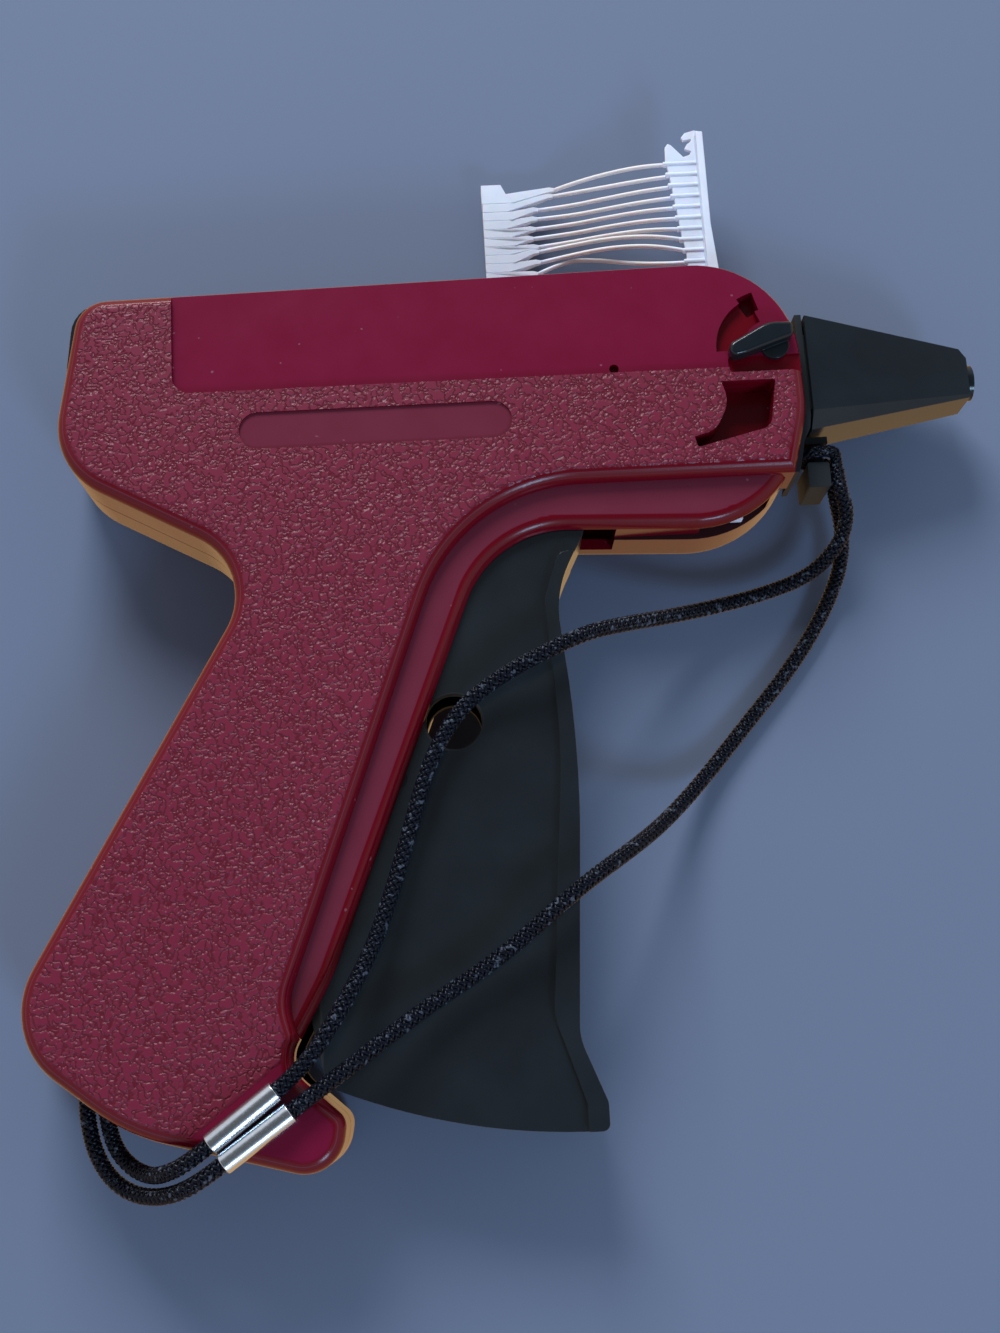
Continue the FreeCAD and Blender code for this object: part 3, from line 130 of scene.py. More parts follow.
# %% [markdown]
# ## From a route to a line
#
# A cord that is laid by hand has no corners. Joining the points by straight runs would
# look like bent wire, and an arc in each corner would still show where it begins. A NURBS
# spline of order 3 takes the points as its control points and flows past them. Blender
# works it out as the mesh of a curve without thickness, whose points are then spread
# evenly along the line, because a braid repeats by length.

# %% Smooth lines
BRAID_STEP = 0.22 * MM


def add_spline(curve, route):
    """Adds a smooth spline to a curve, along a route in millimetres."""
    spline = curve.splines.new("NURBS")
    spline.points.add(len(route) - 1)
    for point, place in zip(spline.points, route):
        point.co = (*(v * MM for v in place), 1)
    spline.order_u = 3
    spline.use_endpoint_u = True


def smooth_line(route, step):
    """Points a step apart along the NURBS line of a route."""
    curve = bpy.data.curves.new("route", "CURVE")
    curve.dimensions = "3D"
    curve.resolution_u = 16
    add_spline(curve, route)
    guide = add_object("route", curve)
    bpy.context.view_layer.update()
    mesh = bpy.data.meshes.new_from_object(guide)
    points = np.array([v.co for v in mesh.vertices])
    bpy.data.objects.remove(guide)
    bpy.data.meshes.remove(mesh)
    gone = np.concatenate([[0], np.cumsum(np.linalg.norm(np.diff(points, axis=0), axis=1))])
    count = max(int(round(gone[-1] / step)), 8)
    stops = np.linspace(0, gone[-1], count + 1)
    return np.stack([np.interp(stops, gone, points[:, i]) for i in range(3)], axis=1)


lines = {name: smooth_line(route, BRAID_STEP) for name, route in ROUTES.items()}
for name, line in lines.items():
    length = np.linalg.norm(np.diff(line, axis=0), axis=1).sum()
    print(name, "is", round(length / MM, 1), "mm along its line")

# %% [markdown]
# ## Across a line
#
# Yarns wind round a cord, so each point of its line needs two directions across it. If
# every point found its own, they would spin where the cord turns. Each direction is made
# from the one before, with the part along the line taken out, so that they never twist.

# %% Directions across a line


def frames_along(line):
    """Directions across a line that turn with it and never twist about it."""
    ahead = np.gradient(line, axis=0)
    ahead /= np.linalg.norm(ahead, axis=1)[:, None]
    side = np.cross(ahead[0], (0.0, 0.0, 1.0))
    if np.linalg.norm(side) < 0.1:
        side = np.cross(ahead[0], (1.0, 0.0, 0.0))
    sides = []
    for direction in ahead:
        side = side - direction * side.dot(direction)
        side /= np.linalg.norm(side)
        sides.append(side.copy())
    sides = np.array(sides)
    return sides, np.cross(ahead, sides)


leaning = frames_along(lines["braid_strand_a"])[0]
closeness = (leaning[1:] * leaning[:-1]).sum(axis=1).min()
print("neighbours differ by at most", round(math.degrees(math.acos(closeness)), 1), "degrees")

# %% [markdown]
# ## A braid
#
# A round lanyard cord is braided: half its yarns wind one way and half the other, and
# each passes over one and under the next. A bump map can't give the knobbly outline of
# such a cord, so the yarns are real. Every yarn is a flat ribbon on a helix whose radius
# rises and falls once per crossing, and the two families rise in turn. The yarns of a
# loose cord stand a little proud of its nominal thickness, so these lie wider than it.

# %% Braid a cord
CORD_RADIUS = 1.25 * MM
YARN_RADIUS = 1.42 * MM
YARNS_EACH_WAY = 6
BRAID_PITCH = 7.2 * MM
CORE_RADIUS = 0.80 * MM
CORE_SIDES = 10
YARN_LEVEL = 0.95 * MM
YARN_WAVE = 0.13 * MM
YARN_HALF_ANGLE = 0.47
YARN_SECTION = [(-1.0, -0.05), (-0.5, 0.15), (0.5, 0.15), (1.0, -0.05), (0.0, -0.16)]


def take(*pieces):
    """Selects these pieces and nothing else, and makes the first one active."""
    for thing in bpy.context.selected_objects:
        thing.select_set(False)
    for piece in pieces:
        piece.select_set(True)
    if pieces:
        bpy.context.view_layer.objects.active = pieces[0]


def tube_faces(rings, sides, first=0):
    """Quads between neighbouring rings of a tube, and a cap on each end."""
    faces = []
    for ring in range(rings - 1):
        low = first + ring * sides
        for side in range(sides):
            after = (side + 1) % sides
            faces.append((low + side, low + after, low + sides + after, low + sides + side))
    faces.append(tuple(first + side for side in reversed(range(sides))))
    last = first + (rings - 1) * sides
    faces.append(tuple(last + side for side in range(sides)))
    return faces


def braid(name, line, radius):
    """A braided cord along a line of points, as one mesh: a core and twelve yarns."""
    side, up = frames_along(line)
    rings = len(line)
    gone = np.arange(rings) * np.linalg.norm(line[1] - line[0])
    turn = 2 * math.pi * gone / BRAID_PITCH
    crossing = turn * YARNS_EACH_WAY
    scale = radius / CORD_RADIUS
    points, faces, shades = [], [], []

    def lay(angles, distances, shade):
        """One tube, whose section's corners lie at these angles and distances."""
        ring = np.stack([line + (np.cos(a) * side.T * r + np.sin(a) * up.T * r).T
                         for a, r in zip(angles, distances)], axis=1)
        faces.extend(tube_faces(rings, len(angles), sum(len(p) for p in points)))
        points.append(ring.reshape(-1, 3))
        shades.extend([shade] * rings * len(angles))

    round_core = [np.full(rings, 2 * math.pi * i / CORE_SIDES) for i in range(CORE_SIDES)]
    lay(round_core, [np.full(rings, CORE_RADIUS * scale)] * CORE_SIDES, 0.0)
    for way in (1, -1):
        wave = YARN_WAVE * np.cos(crossing) * way
        for yarn in range(YARNS_EACH_WAY):
            start = 2 * math.pi * yarn / YARNS_EACH_WAY
            middle = start + way * turn
            angles = [middle + YARN_HALF_ANGLE * a for a, _ in YARN_SECTION]
            distances = [(YARN_LEVEL + wave + rise * MM) * scale for _, rise in YARN_SECTION]
            lay(angles, distances, 0.15 + 0.07 * yarn + (0.4 if way > 0 else 0.0))
    mesh = bpy.data.meshes.new(name)
    mesh.from_pydata(np.concatenate(points), [], faces)
    mesh.attributes.new("yarn", "FLOAT", "POINT").data.foreach_set("value", shades)
    mesh.polygons.foreach_set("use_smooth", [True] * len(mesh.polygons))
    mesh.update()
    cord = add_object(name, mesh)
    take(cord)
    bpy.ops.object.mode_set(mode="EDIT")
    bpy.ops.mesh.select_all(action="SELECT")
    bpy.ops.mesh.normals_make_consistent(inside=False)
    bpy.ops.object.mode_set(mode="OBJECT")
    print(name, len(mesh.polygons), "faces")
    return cord


braids = {name: braid(name, line, YARN_RADIUS) for name, line in lines.items()}

# %% [markdown]
# ## The hitch on the lug
#
# The doubled cord goes round the lug's neck and its two legs leave on the nose's side.
# The same braid follows that turn, pulled tighter, so it is thinner than the strands. It
# stays inside the space that the CAD's turn takes.

# %% Hitch
HITCH_RADIUS = 1.15 * MM
HITCH_ROUTES = {
    "braid_hitch_a": [
        (46.6, 5.75, 7.75), (45.05, 5.75, 7.9), (45.0, 5.8, 10.2), (45.05, 5.75, 13.2),
        (45.6, 5.75, 14.5), (47.6, 5.75, 14.6), (49.6, 5.75, 14.4), (50.3, 5.0, 13.7),
        (50.3, 2.6, 13.1),
    ],
    "braid_hitch_b": [
        (46.6, 5.75, 7.75), (48.4, 5.75, 7.75), (49.8, 5.6, 8.2), (50.3, 4.6, 9.0),
        (50.3, 2.6, 9.3),
    ],
}
hitches = [braid(name, smooth_line(route, BRAID_STEP), HITCH_RADIUS)
           for name, route in HITCH_ROUTES.items()]

# %% [markdown]
# ## Shaping pieces by hand
#
# In edit mode an operator acts on whatever is selected, so faces are picked by their place
# or by the way they point. A finished piece lies at the origin with its place in its mesh,
# as the CAD's solids do, and a pattern on it then stays where it is.
#
# Most pieces end with a bevel. A bevel alone leaves the flat faces beside it shaded as if
# they were round. Normals that are weighted by area put the flat faces right, and the
# light then stays on the edge.

# %% Pick faces, settle and bevel


def select_faces(piece, chosen):
    """Selects the faces for which chosen says yes, in edit mode."""
    bpy.ops.mesh.select_mode(type="FACE")
    bpy.ops.mesh.select_all(action="DESELECT")
    shape = bmesh.from_edit_mesh(piece.data)
    for face in shape.faces:
        face.select_set(chosen(face))
    bmesh.update_edit_mesh(piece.data)


def settle(piece):
    """Leaves the piece at the origin, unturned, with its place in its mesh."""
    take(piece)
    bpy.ops.object.transform_apply(location=True, rotation=True, scale=True)
    return piece


def bevelled(piece, width, angle=30.0, segments=2):
    """Rounds every edge sharper than the angle, and shades what is left evenly."""
    take(piece)
    bevel = piece.modifiers.new("rounded", "BEVEL")
    bevel.width = width
    bevel.segments = segments
    bevel.limit_method = "ANGLE"
    bevel.angle_limit = math.radians(angle)
    bevel.use_clamp_overlap = True
    bpy.ops.object.modifier_apply(modifier=bevel.name)
    bpy.ops.object.shade_smooth_by_angle(angle=math.radians(angle))
    even = piece.modifiers.new("even", "WEIGHTED_NORMAL")
    even.keep_sharp = True
    bpy.ops.object.modifier_apply(modifier=even.name)
    return piece


# %% [markdown]
# ## Ferrules
#
# Each ferrule is a short aluminium tube crimped on the cord, with its ends rolled in a
# little. A cylinder gives the tube. Its end faces are inset and pushed in, so that the
# cord goes into a mouth and not into a flat disc, and a bevel rounds the rolled edge.

# %% Ferrules
FERRULE_RADIUS = 1.8 * MM
FERRULE_WALL = 0.36 * MM
MOUTH_DEPTH = 0.5 * MM
ROLLED_EDGE = 0.16 * MM
FERRULES = {
    "ferrule_tube_a": (STRAND_A[-1], LOOP_A[0], "ferrule_a"),
    "ferrule_tube_b": (STRAND_B[-1], LOOP_B[0], "ferrule_b"),
}


def make_ferrule(name, start, end):
    """A tube between two places in millimetres, with a mouth at each end."""
    start = Vector(start) * MM
    end = Vector(end) * MM
    along = end - start
    take()
    bpy.ops.mesh.primitive_cylinder_add(vertices=48, radius=FERRULE_RADIUS, depth=along.length,
                                        location=(start + end) / 2)
    tube = bpy.context.object
    tube.name = name
    tube.rotation_euler = along.to_track_quat("Z", "Y").to_euler()
    bpy.ops.object.mode_set(mode="EDIT")
    select_faces(tube, lambda face: abs(face.normal.z) > 0.9)
    bpy.ops.mesh.inset(thickness=FERRULE_WALL, use_individual=True)
    bpy.ops.mesh.extrude_region_shrink_fatten(TRANSFORM_OT_shrink_fatten={"value": -MOUTH_DEPTH})
    bpy.ops.object.mode_set(mode="OBJECT")
    settle(tube)
    return bevelled(tube, ROLLED_EDGE, segments=3)


ferrules = [make_ferrule(name, start, end) for name, (start, end, _) in FERRULES.items()]
print(len(ferrules), "ferrules")

# %% [markdown]
# ## Soft edges on the moulded parts
#
# Moulded plastic has no razor edges. Every corner has a small round, and that round is
# what catches the light along the nose, the trigger and the panel. The CAD gives the
# forms with sharp edges, which keeps it light to compute. Drawing the forms anew would
# risk losing its fit, so a copy of each moulded solid is merged from loose triangles into
# whole faces, and its sharp edges are bevelled: widest on the nose, least on the thin
# frame behind it and on the lock's small blade.

# %% Merged copies with rounded edges
WELD_DISTANCE = 0.002 * MM
FLAT_ANGLE = math.radians(0.6)
MOULDED = {
    "face_shell": ("upper_shell", 0.3 * MM, 35.0),
    "nose_cover": ("needle_guard", 0.8 * MM, 25.0),
    "trigger_moulding": ("trigger", 0.45 * MM, 35.0),
    "lock_blade": ("lock_lever", 0.2 * MM, 40.0),
    "nose_frame": ("front_frame", 0.2 * MM, 35.0),
}


def merged_copy(name, node):
    """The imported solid's triangles joined into whole faces, as a new piece."""
    mesh = frame["nodes"][node].data.copy()
    mesh.name = name
    mesh.materials.clear()
    piece = add_object(name, mesh)
    take(piece)
    bpy.ops.object.mode_set(mode="EDIT")
    bpy.ops.mesh.select_all(action="SELECT")
    bpy.ops.mesh.remove_doubles(threshold=WELD_DISTANCE)
    bpy.ops.mesh.dissolve_limited(angle_limit=FLAT_ANGLE)
    bpy.ops.object.mode_set(mode="OBJECT")
    return piece


mouldings = {}
for name, (node, width, angle) in MOULDED.items():
    mouldings[name] = bevelled(merged_copy(name, node), width, angle)
    print(name, len(mouldings[name].data.polygons), "faces")

# %% [markdown]
# ## Black corner piece
#
# A black insert is let into the rear top corner, across the seam. It swells out a little
# round the corner and runs on down the back as a thin strip. Its outline is drawn round
# the corner's own middle, first the outer side and then the inner one. A circle with as
# many corners is moved onto that outline and extruded.

# %% Corner piece
CORNER_MIDDLE = (-79.13, 32.78)
OUTER_RADIUS = 6.9
INNER_RADIUS = 5.7
SWELL = 0.5
STRIP = [(-86.9, 27.5), (-87.0, 23.0), (-86.5, 23.0)]


def outline_plate(name, corners, low, high):
    """A plate between two heights, from a circle whose corners are moved into place."""
    take()
    bpy.ops.mesh.primitive_circle_add(vertices=len(corners), radius=1 * MM,
                                      fill_type="NGON", location=(0, 0, 0))
    plate = bpy.context.object
    plate.name = name
    bpy.ops.object.mode_set(mode="EDIT")
    shape = bmesh.from_edit_mesh(plate.data)
    shape.verts.ensure_lookup_table()
    for point, (x, y) in zip(shape.verts, corners):
        point.co = (x * MM, y * MM, low * MM)
    bmesh.update_edit_mesh(plate.data)
    bpy.ops.mesh.select_all(action="SELECT")
    rise = (0, 0, (high - low) * MM)
    bpy.ops.mesh.extrude_region_move(TRANSFORM_OT_translate={"value": rise})
    bpy.ops.mesh.select_all(action="SELECT")
    bpy.ops.mesh.normals_make_consistent(inside=False)
    bpy.ops.object.mode_set(mode="OBJECT")
    return plate


def corner_point(radius, degrees):
    """The place at that distance and direction from the corner's middle."""
    angle = math.radians(degrees)
    x, y = CORNER_MIDDLE
    return (x + radius * math.cos(angle), y + radius * math.sin(angle))


outer = [corner_point(OUTER_RADIUS + SWELL * math.sin(math.radians(2 * (a - 100))), a)
         for a in range(100, 171, 10)]
inner_side = [corner_point(INNER_RADIUS, a) for a in range(170, 99, -10)]
crescent = [corner_point(5.9, 96)] + outer + STRIP + inner_side
corner_piece = bevelled(outline_plate("corner_crescent", crescent, 4.0, 18.2), 0.3 * MM, 40.0)
print("corner piece", len(corner_piece.data.polygons), "faces")

# %% [markdown]
# ## The clip of fasteners
#
# A full clip holds some fifty fasteners, and 21 are left on this one. Each has a T-bar at
# one end, then a thin filament, and a flat paddle at the other end. The T-bars sit side by
# side on a runner like the teeth of a comb, the paddles hang together on a thin core, and
# the filaments fan out between them. The runner ends in a hook that a hand can pull.
#
# The runner is a thin plate with a rail on it. Both have an irregular outline and one
# thickness, which is what an extruded outline gives best.

# %% Runner of the clip
PLATE = [
    (24.6, 69.5), (24.5, 66.7), (24.8, 65.0), (25.2, 62.0), (25.9, 56.0), (26.4, 51.0),
    (27.0, 48.0), (27.2, 20.2), (31.2, 20.2), (31.3, 66.6), (31.5, 72.1),
    (31.3, 72.7), (30.4, 72.9), (28.6, 72.4), (27.8, 71.4), (28.1, 70.85), (29.7, 71.05),
    (29.7, 70.6), (28.9, 70.05), (28.3, 69.05), (29.6, 68.5), (29.2, 67.8), (28.0, 67.4),
    (25.8, 70.0), (25.2, 70.3),
]
SEAT = [(30.2, 20.2), (31.55, 20.2), (31.6, 71.2), (30.3, 71.3)]
RAIL = [(30.2, -6.0), (32.4, -6.0), (32.3, 43.0), (31.6, 52.0), (31.6, 71.2), (30.3, 71.3)]


def joined(name, pieces):
    """Several pieces as one object with one mesh."""
    take(*pieces)
    bpy.ops.object.join()
    pieces[0].name = name
    return pieces[0]


rack_plate = bevelled(outline_plate("rack_plate", PLATE, low=10.7, high=11.45), 0.12 * MM)
rack_seat = outline_plate("rack_seat", SEAT, low=11.2, high=12.1)
rack_rail = bevelled(outline_plate("rack_rail", RAIL, low=11.9, high=13.9), 0.2 * MM)
rack = joined("clip_rack", [rack_plate, rack_seat, rack_rail])
print("rack", len(rack.data.polygons), "faces")

# %% [markdown]
# ## T-bars
#
# The T-bars are all alike, one pitch apart, and lie across the plate with their ends
# standing out beyond its left edge. One cylinder is laid along X, and each copy's two ends
# are moved to where its own T-bar begins and ends.

# %% T-bars
FASTENERS = 21
PITCH = 2.25
ROW_START = 18.8
TBAR_PLACES = [ROW_START + PITCH * (number + 1) for number in range(FASTENERS)]
TBAR_RADIUS = 0.56 * MM
TBAR_HEIGHT = 11.15 * MM
TBAR_END = 30.5
TBAR_OVERHANG = 0.65
PLATE_EDGE = [(20.5, 27.2), (48.0, 27.0), (51.0, 26.4), (56.0, 25.9), (62.0, 25.2),
              (65.0, 24.8), (66.7, 24.5)]


def plate_edge(y):
    """The X of the plate's left edge at this Y, in millimetres."""
    ys, xs = zip(*PLATE_EDGE)
    return float(np.interp(y, ys, xs))


take()
bpy.ops.mesh.primitive_cylinder_add(vertices=16, radius=TBAR_RADIUS, depth=1 * MM,
                                    location=(0, 0, 0), rotation=(0, math.pi / 2, 0))
first_bar = settle(bpy.context.object)
bars = []
for y in TBAR_PLACES:
    bar = add_object("tbar", first_bar.data.copy())
    left = plate_edge(y) - TBAR_OVERHANG
    for point in bar.data.vertices:
        end = left if point.co.x < 0 else TBAR_END
        point.co = (end * MM, point.co.y + y * MM, point.co.z + TBAR_HEIGHT)
    bars.append(bar)
bpy.data.objects.remove(first_bar)
tbars = bevelled(joined("clip_tbars", bars), 0.22 * MM, 60.0, 3)
print("T-bars", len(bars))

# %% [markdown]
# ## Paddles
#
# A paddle is a small square slab whose blade narrows to its filament. No two blades point
# quite the same way, because the filaments pull on them, so the tips that show have places
# of their own and the hidden ones a plain one. The last paddle has a nib. All of them hang
# on a core, a thin bar through their square ends.

# %% Paddles
LAST_PADDLE = 63.65
PADDLE_PITCH = 1.8
PADDLE_HALF = 0.87
TIP_HEIGHT = 4.1
BLADE_THINNING = 0.78
TIPS = {
    20: (3.6, 65.7), 19: (3.3, 64.4), 18: (0.3, 61.6), 17: (0.0, 59.7), 16: (-0.5, 57.6),
    15: (-1.0, 55.6), 14: (-0.1, 53.8), 13: (-0.1, 52.8), 12: (0.1, 50.6), 11: (-0.6, 48.2),
}
NIB = [(-4.4, 64.9), (-5.9, 64.7), (-6.8, 66.7), (-10.6, 66.7)]
CORE = [(-10.1, 27.4), (-7.4, 27.4), (-7.4, 64.6), (-10.1, 64.6)]


def paddle_place(number):
    """The Y of a paddle's middle, in millimetres."""
    return LAST_PADDLE - PADDLE_PITCH * (FASTENERS - 1 - number)


def tip_place(number):
    """Where a paddle's blade meets its filament."""
    return TIPS.get(number, (3.0, paddle_place(number)))


def make_paddle(number):
    """A square slab whose blade narrows to the filament, in width and in thickness."""
    y = paddle_place(number)
    tip_x, tip_y = tip_place(number)
    last = number == FASTENERS - 1
    left = -10.6 if last else -10.5
    slit = -4.5 - 2.2 * ((number * 7) % 5) / 5
    outline = [(left, y - PADDLE_HALF), (slit, y - PADDLE_HALF), (tip_x - 1.0, tip_y - 0.5),
               (tip_x, tip_y - 0.36), (tip_x, tip_y + 0.36), (tip_x - 1.0, tip_y + 0.5)]
    outline += NIB if last else [(slit, y + PADDLE_HALF), (left, y + PADDLE_HALF)]
    paddle = outline_plate("paddle", outline, low=2.4, high=5.4)
    for point in paddle.data.vertices:
        narrow = (point.co.x / MM - slit) / (tip_x - slit)
        if narrow > 0:
            point.co.z += (TIP_HEIGHT * MM - point.co.z) * min(narrow, 1.0) * BLADE_THINNING
    return paddle


slabs = joined("clip_paddles", [make_paddle(number) for number in range(FASTENERS)])
core = bevelled(outline_plate("core", CORE, low=2.9, high=4.9), 0.2 * MM)
paddles = joined("clip_paddles", [bevelled(slabs, 0.09 * MM), core])
print("paddles", len(paddles.data.polygons), "faces")

# %% [markdown]
# ## Filaments
#
# Each filament springs from its T-bar to its paddle in a soft arch. Those outside the
# casing bow by different amounts, and the lowest of them, which starts at the casing's top
# edge, sweeps up and over it. Inside the casing they go straight down and across. One curve
# with a round section holds all of them as splines, and becomes a mesh whose doubled end
# points are merged.

# %% Filaments
FILAMENT_RADIUS = 0.41 * MM
TAIL_ROOT = 27.4
AT_TOP_EDGE = 11
BOWS = {20: 0.9, 19: -0.2, 18: 0.0, 17: -0.1, 16: 0.25, 15: 0.45, 14: 0.7, 13: 1.6, 12: 1.9}


def filament_route(number):
    """From a T-bar to its paddle: straight down inside the casing, a soft arch outside."""
    start_y = TBAR_PLACES[number]
    tip_x, tip_y = tip_place(number)
    if number == AT_TOP_EDGE:
        return [(TAIL_ROOT, start_y, 10.9), (24.0, 46.2, 9.8), (16.7, 48.2, 6.8),
                (10.4, 50.5, 4.4), (4.6, 50.6, 4.2), (tip_x, tip_y, TIP_HEIGHT)]
    if number < AT_TOP_EDGE:
        return [(TAIL_ROOT, start_y, 11.1), (TAIL_ROOT, start_y, 8.0), (TAIL_ROOT, start_y, 3.9),
                (22.0, start_y + (tip_y - start_y) * 0.2, 3.9), (tip_x, tip_y, TIP_HEIGHT)]
    route = [(TAIL_ROOT, start_y, 10.9)]
    for x, z in ((24.6, 10.6), (19.0, 9.4), (12.5, 7.3), (6.0, 5.1)):
        share = (TAIL_ROOT - x) / (TAIL_ROOT - tip_x)
        bow = BOWS[number] * 4 * share * (1 - share)
        route.append((x, start_y + (tip_y - start_y) * share + bow, z))
    return route + [(tip_x, tip_y, TIP_HEIGHT)]


tails = bpy.data.curves.new("clip_filaments", "CURVE")
tails.dimensions = "3D"
tails.bevel_depth = FILAMENT_RADIUS
tails.bevel_resolution = 2
tails.resolution_u = 6
tails.use_fill_caps = True
for number in range(FASTENERS):
    add_spline(tails, filament_route(number))
take(add_object("clip_filaments", tails))
bpy.ops.object.convert(target="MESH")
filaments = bpy.context.object
bpy.ops.object.mode_set(mode="EDIT")
bpy.ops.mesh.select_all(action="SELECT")
bpy.ops.mesh.remove_doubles(threshold=WELD_DISTANCE)
bpy.ops.mesh.normals_make_consistent(inside=False)
bpy.ops.object.mode_set(mode="OBJECT")
print("filaments", len(filaments.data.polygons), "faces")

# %% [markdown]
# ## Shader maths
#
# Finishes are written as formulas. Reading wraps one socket of a node, and the usual
# operators on it add Math nodes, so that 1 - mask or height * 0.3 read as they would on
# paper. A plain number may stand on either side of a plus, a minus or a times.

# %% A reading in a formula


class Reading:
    """A socket's value in a formula."""

    def __init__(self, formula, socket):
        self.formula = formula
        self.socket = socket

    def maths(self, operation, *values):
        return self.formula.node("Math", {"operation": operation}, *values)

    def __add__(self, other):
        return self.maths("ADD", self, other)

    def __sub__(self, other):
        return self.maths("SUBTRACT", self, other)

    def __mul__(self, other):
        return self.maths("MULTIPLY", self, other)

    def __rsub__(self, other):
        return self.maths("SUBTRACT", other, self)

    __radd__ = __add__
    __rmul__ = __mul__

    def distance_to(self, value):
        return self.maths("ABSOLUTE", self - value)

    def ramp(self, low, high):
        """From 0 at low to 1 at high, eased at both ends."""
        return self.formula.node("MapRange", {"interpolation_type": "SMOOTHSTEP"},
                                 self, low, high, 0.0, 1.0)


# %% A formula and its nodes


class Formula:
    """The nodes and links of a material or of the world."""

    def __init__(self, tree):
        self.nodes = tree.nodes
        self.links = tree.links

    def put(self, socket, value):
        """Links a reading to a socket, or sets the socket to a plain value."""
        if isinstance(value, Reading):
            self.links.new(value.socket, socket)
        elif socket.type == "RGBA":
            socket.default_value = (*value, 1.0)
        else:
            socket.default_value = value

    def node(self, kind, settings, *values, output="", **named):
        """A node of that kind with its settings, fed by values in order or by name.

        A socket that the settings switch off is left out of the order. The reading is of
        the output with that name, or else of the first one.
        """
        made = self.nodes.new("ShaderNode" + kind)
        for key, value in settings.items():
            setattr(made, key, value)
        for socket, value in zip([s for s in made.inputs if s.enabled], values):
            self.put(socket, value)
        for key, value in named.items():
            self.put(made.inputs[key], value)
        results = [s for s in made.outputs if s.enabled and output in ("", s.name)]
        return Reading(self, results[0])


# %% [markdown]
# ## A finish
#
# A finish is a formula that ends in a material's shader. What is the same all over a
# surface is set on the shader at once, and feed links what changes. All patterns read
# Object coordinates, so a place on the gun can be named in metres, and one pattern runs
# on unbroken from a piece to the next.

# %% A finish and its patterns


class Finish(Formula):
    """A material built from one shader and the nodes that feed it."""

    def __init__(self, name, **plain):
        self.material = bpy.data.materials.new(name)
        self.material.use_nodes = True
        super().__init__(self.material.node_tree)
        self.shader = self.nodes["Principled BSDF"]
        self.feed(**plain)
        self.place = self.node("TexCoord", {}, output="Object")
        axes = self.node("SeparateXYZ", {}, self.place).socket.node
        self.x, self.y, self.z = (Reading(self, socket) for socket in axes.outputs)

    def noise(self, scale, detail=2.0, rough=0.5, at=None):
        return self.node("TexNoise", {}, Vector=at or self.place, Scale=scale, Detail=detail,
                         Roughness=rough)

    def patch(self, middle, near, far):
        """1 within near of a place in X and Y, 0 from far on, at any height."""
        across = self.x - middle[0]
        along = self.y - middle[1]
        return 1 - (across * across + along * along).ramp(near * near, far * far)

    def mix(self, share, first, second):
        """A colour between two, by share."""
        return self.node("Mix", {"data_type": "RGBA"}, share, first, second)

    def bump(self, height, depth, strength):
        return self.node("Bump", {}, Strength=strength, Distance=depth, Height=height)

    def feed(self, **sockets):
        """Puts values on the shader's sockets, by name, and gives the material."""
        for socket, value in sockets.items():
            self.put(self.shader.inputs[socket.replace("_", " ")], value)
        return self.material


# %% [markdown]
# ## Crimson casing
#
# The shells are crimson plastic. Where the face is at its full height the mould was
# etched with a leather grain: flat islands between thin winding valleys. The edges, the
# sunk panel, the label's place and the ledge are smooth and glossier. The grain can tell
# where it belongs from the height alone, apart from the toe, which is bare. Thin valleys
# come from a noise's mid line: wherever it crosses one half, the distance to it is zero.
#
# There are three sunk levels: the label's place, the panel and the ledge. The panel keeps the
# plain red. The label's place and the ledge get a paler, greyer red, which is painted sheen
# where these flats mirror the bright world. The rounded edges and the walls get a deep, dark
# red, which is painted shade. A dark line marks the seam between the shells, and the deep gap
# behind the trigger's foot is dark and dull, because little light finds its way in there.

# %% Casing finish
FACE_LEVEL = 22.2 * MM
SEAM_LEVEL = 11.1 * MM
FLAT_LEVELS = [FACE_LEVEL - depth * MM for depth in (0.4, 1.0, 3.0)]
GAP_PLACE = (-48.5 * MM, -95.0 * MM)


